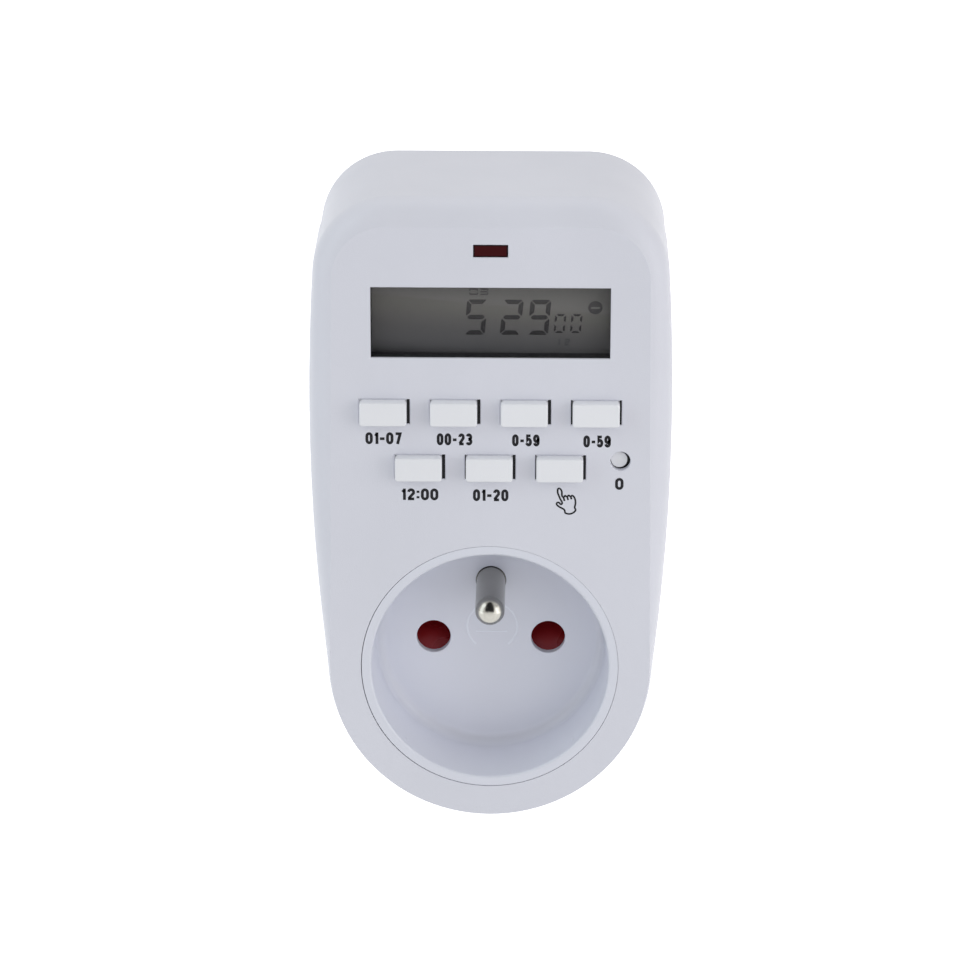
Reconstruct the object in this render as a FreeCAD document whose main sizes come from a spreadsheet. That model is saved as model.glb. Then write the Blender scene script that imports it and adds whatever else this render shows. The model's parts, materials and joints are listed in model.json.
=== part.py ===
import FreeCAD
import Part
import math
import os
import Sketcher
from types import SimpleNamespace

# Plug-in timer with an outlet in front and a plug behind.
# X is to the right, Y points to the wall and Z is up. The origin is midway between the
# two plug pins, on the end face of the plug. Sizes are in millimetres.

SIZES = (
    # Housing seen from the front, with heights counted from the pin line.
    ("rim_width", 5.55),
    ("side_swell", 2.65),
    ("top_margin", 7.8),
    ("widest_height", 42.7),
    ("corner_radius", 12.7),
    ("wall", 2.0),
    ("seam_step", 0.15),
    ("seam_rounding", 0.25),
    ("tongue_wall", 0.9),
    ("tongue_reach", 1.2),
    ("back_rounding", 1.6),
    # Bevel round the front face.
    ("bevel_width", 3.9),
    ("bevel_foot", 0.5),
    ("bevel_depth", 4.5),
    ("crown_share", 0.51),
    ("crown_depth", 0.9),
    ("bevel_wall", 0.3),
    ("edge_rounding", 0.2),
    # Running and seating clearances.
    ("fit_gap", 0.05),
    ("slide_gap", 0.1),
    ("seat_gap", 0.2),
    # Display window and the display behind it.
    ("window_width", 38.1),
    ("window_height", 11.65),
    ("window_gap", 6.95),
    ("window_recess", 0.4),
    ("flange_margin", 1.5),
    ("flange_thickness", 0.8),
    ("rim_wall", 0.8),
    ("glass_margin", 2.0),
    ("glass_thickness", 2.2),
    ("frame_wall", 1.2),
    ("frame_ledge", 1.0),
    ("strip_width", 2.4),
    # Indicator.
    ("lens_width", 5.5),
    ("lens_height", 2.0),
    ("lens_gap", 5.05),
    ("lens_recess", 0.1),
    ("lamp_foot", 0.8),
    ("lamp_leg", 0.5),
    # Keys and their switches.
    ("key_width", 7.5),
    ("key_height", 3.9),
    ("key_side_play", 0.3),
    ("key_end_play", 0.1),
    ("key_shift", -0.2),
    ("key_proud", 1.9),
    ("key_rounding", 0.25),
    ("key_corner", 0.45),
    ("key_travel", 0.5),
    ("key_margin_outside", 8.2),
    ("row_pitch", 9.3),
    ("keys_rise", 11.5),
    ("stem_width", 3.0),
    ("key_margin", 0.8),
    ("switch_width", 6.0),
    ("switch_height", 3.5),
    ("plunger_radius", 1.6),
    ("plunger_proud", 1.0),
    ("plunger_sunk", 1.5),
    ("reset_offset", 9.6),
    ("reset_rise", 1.1),
    ("reset_hole_radius", 1.6),
    ("reset_radius", 1.3),
    ("reset_recess", 1.0),
    # Circuit boards.
    ("control_depth", 9.5),
    ("board_thickness", 1.6),
    ("board_foot", 2.3),
    ("board_margin", 3.4),
    ("board_gap", 4.5),
    ("board_post_inset", 1.2),
    ("board_post_rise", 2.5),
    ("board_post_spacing", 17.5),
    ("board_post_radius", 1.8),
    # Screws.
    ("screw_radius", 1.45),
    ("screw_head_radius", 2.6),
    ("screw_head_height", 1.8),
    ("small_screw_radius", 0.9),
    ("small_head_radius", 1.7),
    ("small_head_height", 1.2),
    ("slot_width", 0.5),
    ("upper_screw_inset", 7.8),
    ("upper_screw_drop", 7.1),
    ("lower_screw_offset", 0.7),
    ("post_radius", 2.9),
    ("well_radius", 2.8),
    ("well_depth", 3.0),
    ("well_wall", 0.9),
    ("post_wall", 0.9),
    # Outlet.
    ("pin_spacing", 19.0),
    ("pin_radius", 2.4),
    ("plug_pin_length", 19.0),
    ("pin_tip", 0.9),
    ("earth_height", 10.0),
    ("pin_root_radius", 2.65),
    ("well_draft", 0.35),
    ("mouth_rim", 1.55),
    ("seam_gap", 0.09),
    ("seam_lean", 0.035),
    ("mouth_rounding", 0.4),
    ("floor_rounding", 1.8),
    ("outlet_depth", 13.75),
    ("floor_thickness", 1.35),
    ("insert_flange", 2.0),
    ("insert_flange_thickness", 1.6),
    ("skirt_wall", 1.7),
    ("skirt_reach", 4.0),
    ("contact_hole_radius", 2.81),
    ("hole_rounding", 0.15),
    ("earth_pin_length", 16.3),
    ("earth_shoulder_radius", 3.3),
    ("earth_shoulder", 1.5),
    ("tail_radius", 1.5),
    # Shutter, its guide and the contacts.
    ("shutter_travel", 6.5),
    ("wedge_half_width", 3.6),
    ("wedge_half_height", 3.4),
    ("wedge_rise", 6.0),
    ("wedge_back", 1.0),
    ("bar_height", 3.0),
    ("rail_wall", 1.6),
    ("rail_top", 4.2),
    ("ledge_wall", 1.2),
    ("spring_radius", 2.2),
    ("spring_wire", 0.5),
    ("spring_turns", 6.0),
    ("carrier_margin", 0.2),
    ("carrier_play", 1.4),
    ("carrier_plate", 1.6),
    ("carrier_screw_inset", 1.7),
    ("carrier_screw_height", 8.2),
    ("contact_inner", 2.45),
    ("contact_outer", 3.0),
    ("contact_slit", 0.6),
    ("pocket_wall", 1.0),
    ("pocket_length", 6.0),
    ("contact_length", 9.4),
    # Plug.
    ("boss_length", 16.5),
    ("plug_play", 0.75),
    ("boss_wall", 1.8),
    ("boss_end", 2.5),
    ("boss_rounding", 1.2),
    ("groove_width", 5.5),
    ("rib_wall", 1.9),
    ("channel_depth", 2.0),
    ("channel_width", 5.2),
    ("earth_hole_radius", 2.5),
    ("sleeve_wall", 0.6),
    ("sleeve_length", 8.0),
    ("head_radius", 3.2),
    ("head_length", 2.0),
    ("retainer_thickness", 1.5),
    ("retainer_play", 1.05),
    ("tail_length", 4.3),
    # Strips of brass.
    ("strip_thickness", 0.8),
    ("strip_half", 2.0),
    ("link_half", 1.4),
    ("busbar_gap", 0.35),
    ("clip_half", 2.2),
    ("clip_bulge", 0.9),
    ("strap_half", 4.2),
    ("strap_level", 14.5),
    ("strap_foot", 3.0),
    # Parts on the power board.
    ("relay_width", 19.0),
    ("relay_height", 15.5),
    ("relay_length", 15.3),
    ("relay_play", 2.0),
    ("relay_inset", 3.6),
    ("parts_rise", 3.0),
    ("film_width", 18.0),
    ("film_height", 8.0),
    ("film_length", 12.0),
    ("film_gap", 4.5),
    ("can_radius", 4.0),
    ("can_length", 11.5),
    ("can_shift", 2.0),
    ("can_gap", 6.5),
    ("disc_radius", 4.6),
    ("disc_thickness", 3.6),
    ("disc_gap", 1.5),
    ("diode_radius", 1.3),
    ("diode_length", 4.8),
    ("diode_gap", 14.0),
    ("diode_pitch", 4.0),
    # Parts on the back of the control board.
    ("battery_radius", 5.75),
    ("battery_thickness", 5.3),
    ("battery_gap", 1.75),
    ("battery_drop", 9.0),
    ("chip_width", 10.0),
    ("chip_thickness", 1.3),
    ("chip_drop", 10.5),
    ("crystal_radius", 1.0),
    ("crystal_length", 6.0),
    ("crystal_gap", 5.5),
    ("header_pitch", 2.54),
    ("header_width", 2.5),
    ("header_pin", 0.64),
    ("header_drop", 4.0),
)

# Two lengths this close are the same.
NEAR = 1e-4
HEADER_PINS = 6
DIODES = 4
# The outer keys lie this many key pitches from the middle.
OUTER_KEY = 1.5


class Size:
    """A length that keeps both its number and its expression in the names of the sheet."""

    def __init__(self, number, text):
        self.number = number
        self.text = text

    def __add__(self, other):
        other = as_size(other)
        return Size(self.number + other.number, "({} + {})".format(self.text, other.text))

    def __sub__(self, other):
        other = as_size(other)
        return Size(self.number - other.number, "({} - {})".format(self.text, other.text))

    def __mul__(self, other):
        other = as_size(other)
        return Size(self.number * other.number, "({} * {})".format(self.text, other.text))

    def __truediv__(self, other):
        other = as_size(other)
        return Size(self.number / other.number, "({} / {})".format(self.text, other.text))

    def __neg__(self):
        return Size(-self.number, "(0 - {})".format(self.text))

    def __radd__(self, other):
        return as_size(other) + self

    def __rmul__(self, other):
        return as_size(other) * self


def as_size(value):
    return value if isinstance(value, Size) else Size(float(value), repr(float(value)))


def root(size):
    return Size(math.sqrt(size.number), "sqrt({})".format(size.text))


ZERO = as_size(0)
doc = FreeCAD.newDocument("plug_in_timer")
sheet = doc.addObject("Spreadsheet::Sheet", "Sizes")
for row, (alias, value) in enumerate(SIZES, start=1):
    sheet.set("A{}".format(row), alias)
    sheet.set("B{}".format(row), str(value))
    sheet.setAlias("B{}".format(row), alias)
doc.recompute()
s = SimpleNamespace(**{alias: Size(value, "Sizes." + alias) for alias, value in SIZES})

# Radii of the outlet, built up from its shutter, and of the plug, which belongs to the same system.
LEDGE = -(s.wedge_half_height + s.bar_height + s.shutter_travel + s.spring_wire * (s.spring_turns + 1))
CARRIER_RADIUS = s.ledge_wall + s.carrier_margin - LEDGE
OUTLET_OUTER = CARRIER_RADIUS + s.carrier_play + s.skirt_wall
OUTLET_HOLE = OUTLET_OUTER + s.seam_gap
OUTLET_FLANGE = OUTLET_HOLE + s.insert_flange
MOUTH_RADIUS = OUTLET_OUTER - s.mouth_rim
FLOOR_RADIUS = MOUTH_RADIUS - s.well_draft
BOSS_RADIUS = FLOOR_RADIUS - s.plug_play
BOSS_INNER = BOSS_RADIUS - s.boss_wall
HALF_SPACING = s.pin_spacing / 2
BUSBAR_OUTER = HALF_SPACING + s.contact_outer + s.slide_gap + s.strip_thickness
GROOVE_FLOOR = BUSBAR_OUTER + s.busbar_gap + s.rib_wall

# The front face, built up from the outlet: keys, display, indicator and the outline round them.
KEY_HOLE_WIDTH = s.key_width + s.key_side_play * 2
KEY_HOLE_HEIGHT = s.key_height + s.key_end_play * 2
LOWER_ROW = OUTLET_FLANGE + s.keys_rise
UPPER_ROW = LOWER_ROW + s.row_pitch
WINDOW = UPPER_ROW + KEY_HOLE_HEIGHT / 2 + s.window_gap + s.window_height / 2
LENS = WINDOW + s.window_height / 2 + s.lens_gap + s.lens_height / 2
TOP = LENS + s.top_margin
FOOT_RADIUS = OUTLET_HOLE + s.rim_width
HALF_WIDTH = FOOT_RADIUS + s.side_swell
KEY_PITCH = (HALF_WIDTH - s.key_margin_outside - KEY_HOLE_WIDTH / 2) / OUTER_KEY
RESET_ACROSS = KEY_PITCH + s.reset_offset
RESET_HEIGHT = LOWER_ROW + s.reset_rise

# Circuit boards and what they carry.
BOARD_HALF = HALF_WIDTH - s.board_margin
BOARD_BOTTOM = OUTLET_FLANGE + s.board_gap
BOARD_TOP = TOP - s.board_margin
PARTS_BOTTOM = BOARD_BOTTOM + s.parts_rise
RELAY_LEFT = s.relay_inset - BOARD_HALF
HEADER = BOARD_TOP - s.header_drop
BATTERY = HEADER - s.battery_drop

# Levels along Y, from the front face to the plug.
HOUSING_DEPTH = (s.control_depth + s.board_thickness * 2 + s.relay_length + s.relay_play
                 + s.board_foot + s.wall)
FRONT = -(s.boss_length + HOUSING_DEPTH)
INNER = FRONT + s.wall
BACK = -s.boss_length
BACK_INNER = BACK - s.wall
CONTROL = FRONT + s.control_depth
CONTROL_BACK = CONTROL + s.board_thickness
POWER = CONTROL_BACK + s.relay_length + s.relay_play
POWER_BACK = POWER + s.board_thickness
FLOOR = FRONT + s.outlet_depth
FLOOR_BACK = FLOOR + s.floor_thickness
PARTING = FLOOR_BACK + s.skirt_reach
SHUTTER = FLOOR_BACK + s.seat_gap
SHUTTER_BACK = SHUTTER + s.wedge_rise + s.wedge_back
PLATE = SHUTTER_BACK + s.seat_gap
PLATE_BACK = PLATE + s.carrier_plate
TAIL_END = -(s.boss_end + s.head_length + s.tail_length)

NODES = []


def bind(item, prop, size):
    item.setExpression(prop, as_size(size).text)


def node(item, name):
    """Names an object of the document as one sub-part."""
    item.Label = name
    NODES.append(item)
    return item


def new_body(name):
    return node(doc.addObject("PartDesign::Body", name), name)


class Drawing:
    """A sketch on an origin plane of its body, whose points and radii are tied to the sheet."""

    def __init__(self, body, name, plane, offset):
        self.sketch = body.newObject("Sketcher::SketchObject", name)
        support = next(item for item in body.Origin.OriginFeatures if item.Role == plane)
        self.sketch.AttachmentSupport = [(support, "")]
        self.sketch.MapMode = "FlatFace"
        bind(self.sketch, "AttachmentOffset.Base.z", offset)

    def tie(self, *rule):
        return self.sketch.addConstraint(Sketcher.Constraint(*rule))

    def measure(self, *rule):
        size = as_size(rule[-1])
        index = self.tie(*rule[:-1], size.number)
        bind(self.sketch, "Constraints[{}]".format(index), size)

    def pin(self, shape, end, x, y):
        """Holds one point of a shape at x and y."""
        for kind, size, axis in (("DistanceX", x, -2), ("DistanceY", y, -1)):
            if size is ZERO:
                self.tie("PointOnObject", shape, end, axis)
            else:
                self.measure(kind, -1, 1, shape, end, size)

    def circle(self, x, y, radius):
        x, y, radius = as_size(x), as_size(y), as_size(radius)
        centre = FreeCAD.Vector(x.number, y.number, 0)
        shape = self.sketch.addGeometry(Part.Circle(centre, FreeCAD.Vector(0, 0, 1), radius.number))
        self.pin(shape, 3, ZERO if x.number == 0 else x, ZERO if y.number == 0 else y)
        self.measure("Radius", shape, radius)

    def polygon(self, points):
        corners = [(as_size(x), as_size(y)) for x, y in points]
        places = [FreeCAD.Vector(x.number, y.number, 0) for x, y in corners]
        shapes = []
        for index, place in enumerate(places):
            following = places[(index + 1) % len(places)]
            shapes.append(self.sketch.addGeometry(Part.LineSegment(place, following)))
        for index, shape in enumerate(shapes):
            self.tie("Coincident", shape, 2, shapes[(index + 1) % len(shapes)], 1)
        for shape, (x, y) in zip(shapes, corners):
            self.pin(shape, 1, ZERO if x.number == 0 else x, ZERO if y.number == 0 else y)

    def rectangle(self, left, right, bottom, top):
        self.polygon(((left, bottom), (right, bottom), (right, top), (left, top)))

    def outline(self, side_inset, foot_inset, straight=False):
        """The housing's outline, drawn in by one amount at the sides and another at the foot."""
        width = HALF_WIDTH - side_inset
        top = TOP - side_inset
        corner = s.corner_radius - side_inset
        foot = FOOT_RADIUS - foot_inset
        side = (width * width + s.widest_height * s.widest_height - foot * foot) / (2 * (width - foot))
        if straight:
            self.straight_outline(width, top, corner, foot)
            return
        w, z, rs = width.number, s.widest_height.number, side.number
        centre_x = w - rs
        corner_z = top.number - corner.number
        corner_x = centre_x + math.sqrt((rs - corner.number) ** 2 - (corner_z - z) ** 2)
        high = math.atan2(corner_z - z, corner_x - centre_x)
        low = math.atan2(-z, -centre_x)
        up = FreeCAD.Vector(0, 0, 1)

        def arc(x, y, radius, start, end):
            circle = Part.Circle(FreeCAD.Vector(x, y, 0), up, radius)
            return self.sketch.addGeometry(Part.ArcOfCircle(circle, start, end))

        self.sketch.addGeometry(Part.LineSegment(
            FreeCAD.Vector(-corner_x, top.number, 0), FreeCAD.Vector(corner_x, top.number, 0)))
        arc(corner_x, corner_z, corner.number, high, math.pi / 2)
        arc(centre_x, z, rs, low, high)
        arc(0, 0, foot.number, math.pi - low, 2 * math.pi + low)
        arc(-centre_x, z, rs, math.pi - high, math.pi - low)
        arc(-corner_x, corner_z, corner.number, math.pi / 2, math.pi - high)
        self.close_outline(top, corner, foot)
        for shape in (2, 4):
            self.measure("DistanceY", -1, 1, shape, 3, s.widest_height)
            self.measure("Radius", shape, side)

    def straight_outline(self, width, top, corner, foot):
        corner_x = width.number - corner.number
        corner_z = top.number - corner.number
        spread = math.hypot(corner_x, corner_z)
        lean = math.atan2(corner_z, corner_x) - math.acos((foot.number - corner.number) / spread)
        out_x, out_z = math.cos(lean), math.sin(lean)
        up = FreeCAD.Vector(0, 0, 1)

        def arc(x, y, radius, start, end):
            circle = Part.Circle(FreeCAD.Vector(x, y, 0), up, radius)
            return self.sketch.addGeometry(Part.ArcOfCircle(circle, start, end))

        low = FreeCAD.Vector(foot.number * out_x, foot.number * out_z, 0)
        high = FreeCAD.Vector(corner_x + corner.number * out_x, corner_z + corner.number * out_z, 0)
        self.sketch.addGeometry(Part.LineSegment(
            FreeCAD.Vector(-corner_x, top.number, 0), FreeCAD.Vector(corner_x, top.number, 0)))
        arc(corner_x, corner_z, corner.number, lean, math.pi / 2)
        self.sketch.addGeometry(Part.LineSegment(low, high))
        arc(0, 0, foot.number, math.pi - lean, 2 * math.pi + lean)
        self.sketch.addGeometry(Part.LineSegment(
            FreeCAD.Vector(-high.x, high.y, 0), FreeCAD.Vector(-low.x, low.y, 0)))
        arc(-corner_x, corner_z, corner.number, math.pi / 2, math.pi - lean)
        self.close_outline(top, corner, foot)
        self.measure("DistanceX", -1, 1, 1, 3, width - corner)
        self.measure("DistanceX", -1, 1, 5, 3, corner - width)

    def close_outline(self, top, corner, foot):
        """Joins top, corners, sides and foot smoothly and sets what all outlines share."""
        for first, end, second, start in ((0, 2, 1, 2), (1, 1, 2, 2), (2, 1, 3, 2),
                                          (3, 1, 4, 2), (4, 1, 5, 2), (5, 1, 0, 1)):
            self.tie("Tangent", first, end, second, start)
        self.tie("Horizontal", 0)
        self.measure("DistanceY", -1, 1, 0, 1, top)
        self.tie("Coincident", 3, 3, -1, 1)
        self.measure("Radius", 3, foot)
        self.measure("Radius", 1, corner)
        self.measure("Radius", 5, corner)


def across(body, name, level):
    """A drawing seen from the front, X to the right and Z up, at one level along Y."""
    return Drawing(body, name, "XZ_Plane", -level)


def pad(body, name, drawing, length, midplane=False):
    feature = body.newObject("PartDesign::Pad", name)
    feature.Profile = drawing.sketch
    bind(feature, "Length", length)
    feature.Midplane = midplane
    drawing.sketch.Visibility = False
    return feature


def pocket(body, name, drawing, length, midplane=False):
    """Cuts towards the wall from the drawing, and makes sure that something was cut."""
    doc.recompute()
    before = body.Shape.Volume
    feature = body.newObject("PartDesign::Pocket", name)
    feature.Profile = drawing.sketch
    bind(feature, "Length", length)
    feature.Midplane = midplane
    doc.recompute()
    if body.Shape.Volume >= before:
        raise RuntimeError("{} cuts nothing".format(name))
    return feature


def slab(body, name, start, end, draw):
    """Adds what draw puts on the drawing, from the level start to the level end behind it."""
    drawing = across(body, name + "_sketch", end)
    draw(drawing)
    return pad(body, name, drawing, end - start)


def slot(body, name, start, end, draw):
    """Cuts what draw puts on the drawing, from the level start to the level end behind it."""
    drawing = across(body, name + "_sketch", start)
    draw(drawing)
    return pocket(body, name, drawing, end - start)


def round_edges(body, name, radius, chosen):
    """Rounds the edges of the body that chosen picks."""
    doc.recompute()
    base = body.Tip
    names = ["Edge{}".format(i + 1) for i, edge in enumerate(base.Shape.Edges) if chosen(edge)]
    if not names:
        raise RuntimeError("{} finds no edge".format(name))
    feature = body.newObject("PartDesign::Fillet", name)
    feature.Base = (base, names)
    bind(feature, "Radius", radius)
    return feature


def lies_at(edge, level):
    """Does the edge lie in the plane across Y at this level?"""
    box = edge.BoundBox
    return abs(box.YMin - level.number) < NEAR and abs(box.YMax - level.number) < NEAR


def block(name, left, right, front, back, bottom, top):
    item = doc.addObject("Part::Box", name)
    left, right, front = as_size(left), as_size(right), as_size(front)
    back, bottom, top = as_size(back), as_size(bottom), as_size(top)
    bind(item, "Length", right - left)
    bind(item, "Width", back - front)
    bind(item, "Height", top - bottom)
    bind(item, "Placement.Base.x", left)
    bind(item, "Placement.Base.y", front)
    bind(item, "Placement.Base.z", bottom)
    return item


def rod(name, radius, front, back, x, z):
    """A cylinder along Y."""
    item = doc.addObject("Part::Cylinder", name)
    turn = FreeCAD.Rotation(FreeCAD.Vector(0, 0, 1), FreeCAD.Vector(0, 1, 0))
    item.Placement = FreeCAD.Placement(FreeCAD.Vector(), turn)
    bind(item, "Radius", radius)
    bind(item, "Height", as_size(back) - front)
    bind(item, "Placement.Base.x", x)
    bind(item, "Placement.Base.y", front)
    bind(item, "Placement.Base.z", z)
    return item


def fuse(name, pieces):
    item = doc.addObject("Part::MultiFuse", name)
    item.Shapes = pieces
    return item


def cut(name, base, tools):
    item = doc.addObject("Part::Cut", name)
    item.Base = base
    item.Tool = tools[0] if len(tools) == 1 else fuse(name + "_tools", tools)
    return item


def group(name, pieces):
    """Separate solids that share one sub-part."""
    item = doc.addObject("Part::Compound", name)
    item.Links = pieces
    return node(item, name)


def screw(name, radius, head_radius, head_height, tip, seat, x, z):
    """A slotted screw driven forwards, its head behind the level seat and its end at tip."""
    shank = rod(name + "_shank", radius, tip, seat, x, z)
    head = rod(name + "_head", head_radius, seat, seat + head_height, x, z)
    x, z = as_size(x), as_size(z)
    groove = block(
        name + "_slot",
        x - head_radius - s.slot_width,
        x + head_radius + s.slot_width,
        seat + head_height / 2,
        seat + head_height * 2,
        z - s.slot_width / 2,
        z + s.slot_width / 2,
    )
    return cut(name, fuse(name + "_blank", [shank, head]), [groove])


KEYS = (
    # name, place in pitches from the middle, row, share of the shift by which the cap leans
    ("week", -OUTER_KEY, UPPER_ROW, 0.9),
    ("hour", -0.5, UPPER_ROW, 1.0),
    ("minute", 0.5, UPPER_ROW, 1.0),
    ("second", OUTER_KEY, UPPER_ROW, 0.2),
    ("clock", -1.0, LOWER_ROW, 1.0),
    ("program", 0.0, LOWER_ROW, 0.7),
    ("manual", 1.0, LOWER_ROW, 0.7),
)
SIDES = (-1, 1)
BOARD_POST = BOARD_BOTTOM + s.board_post_rise
BOARD_POSTS = tuple(
    (side * (BOARD_HALF - s.board_post_inset), level)
    for side in SIDES
    for level in (BOARD_POST + s.board_post_spacing, BOARD_POST)
)
# The lower screws stand at 45 degrees below the outlet, close round it.
LOWER_SCREW = (OUTLET_OUTER + s.lower_screw_offset) * math.sqrt(0.5)
UPPER_SCREWS = tuple(
    (side * (HALF_WIDTH - s.upper_screw_inset), TOP - s.upper_screw_drop) for side in SIDES)
LOWER_SCREWS = tuple((side * LOWER_SCREW, -LOWER_SCREW) for side in SIDES)
CARRIER_CIRCLE = CARRIER_RADIUS - s.carrier_screw_inset
CARRIER_ACROSS = root(CARRIER_CIRCLE * CARRIER_CIRCLE - s.carrier_screw_height * s.carrier_screw_height)
CARRIER_SCREWS = tuple((side * CARRIER_ACROSS, s.carrier_screw_height) for side in SIDES)
BAR_HALF = HALF_SPACING + s.wedge_half_width
WINDOW_BACK = INNER + s.flange_thickness
GLASS = WINDOW_BACK + s.seat_gap
GLASS_BACK = GLASS + s.glass_thickness
SWITCH = CONTROL - s.switch_height
PLUNGER = SWITCH - s.plunger_proud
KEY_FLANGE = INNER + s.seat_gap


def front_cover():
    body = new_body("front_cover")
    shoulder = FRONT + s.bevel_depth
    sections = (
        (FRONT, s.bevel_width, s.bevel_foot, True),
        (FRONT + s.crown_depth, s.bevel_width * s.crown_share, s.bevel_foot * s.crown_share, False),
        (shoulder, ZERO, ZERO, False),
    )
    drawings = []
    for index, (level, side, foot, straight) in enumerate(sections):
        drawing = across(body, "bevel_section_{}".format(index), level)
        drawing.outline(side, foot, straight)
        drawings.append(drawing.sketch)
    bevel = body.newObject("PartDesign::AdditiveLoft", "bevel")
    bevel.Profile = drawings[0]
    bevel.Sections = drawings[1:]
    slab(body, "sides", shoulder, PARTING, lambda d: d.outline(ZERO, ZERO))
    round_edges(body, "seam_rounded", s.seam_rounding, lambda edge: lies_at(edge, PARTING))
    slot(body, "hollow", shoulder, PARTING, lambda d: d.outline(s.wall, s.wall))
    rear = across(body, "hollow_rear", shoulder)
    rear.outline(s.wall, s.wall)
    near = across(body, "hollow_near", INNER)
    near.outline(s.bevel_width + s.bevel_wall, s.wall + s.bevel_wall)
    taper = body.newObject("PartDesign::SubtractiveLoft", "hollow_taper")
    taper.Profile = rear.sketch
    taper.Sections = [near.sketch]
    taper.Ruled = True

    def screw_posts(d):
        for x, z in UPPER_SCREWS:
            d.circle(x, z, s.post_radius)

    def board_posts(d):
        for x, z in BOARD_POSTS:
            d.circle(x, z, s.board_post_radius)

    slab(body, "screw_posts", INNER, PARTING, screw_posts)
    slab(body, "board_posts", INNER, CONTROL, board_posts)

    def screw_holes(d):
        for x, z in UPPER_SCREWS:
            d.circle(x, z, s.screw_radius + s.fit_gap)

    def board_holes(d):
        for x, z in BOARD_POSTS:
            d.circle(x, z, s.small_screw_radius + s.fit_gap)

    slot(body, "screw_holes", shoulder, PARTING, screw_holes)
    slot(body, "board_holes", INNER + s.wall / 2, CONTROL, board_holes)

    def openings(d):
        half = s.window_width / 2
        high = s.window_height / 2
        d.rectangle(-half, half, WINDOW - high, WINDOW + high)
        half = s.lens_width / 2
        high = s.lens_height / 2
        d.rectangle(-half, half, LENS - high, LENS + high)
        half = KEY_HOLE_WIDTH / 2
        high = KEY_HOLE_HEIGHT / 2
        for name, place, level, lean in KEYS:
            middle = place * KEY_PITCH
            d.rectangle(middle - half, middle + half, level - high, level + high)
        d.circle(RESET_ACROSS, RESET_HEIGHT, s.reset_hole_radius)
        # The outlet sits in the upper right of its opening's play.
        d.circle(-s.seam_lean, -s.seam_lean, OUTLET_HOLE)

    slot(body, "openings", FRONT, INNER, openings)

    face_half = (HALF_WIDTH - s.bevel_width - s.wall / 2).number
    face_top = (TOP - s.bevel_width - s.wall / 2).number

    def opening_edge(edge):
        """An edge of an opening above the outlet, inside the face's own outline."""
        box = edge.BoundBox
        return (lies_at(edge, FRONT) and box.ZMin > OUTLET_HOLE.number and box.ZMax < face_top
                and max(-box.XMin, box.XMax) < face_half)

    round_edges(body, "openings_rounded", s.edge_rounding, opening_edge)

    # A rim behind the wall that places the display window.
    def window_rim(d):
        half = s.window_width / 2 + s.flange_margin + s.slide_gap
        high = s.window_height / 2 + s.flange_margin + s.slide_gap
        wall = s.rim_wall
        d.rectangle(-half - wall, half + wall, WINDOW - high - wall, WINDOW + high + wall)
        d.rectangle(-half, half, WINDOW - high, WINDOW + high)

    slab(body, "window_rim", INNER, GLASS - s.slide_gap, window_rim)


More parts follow.
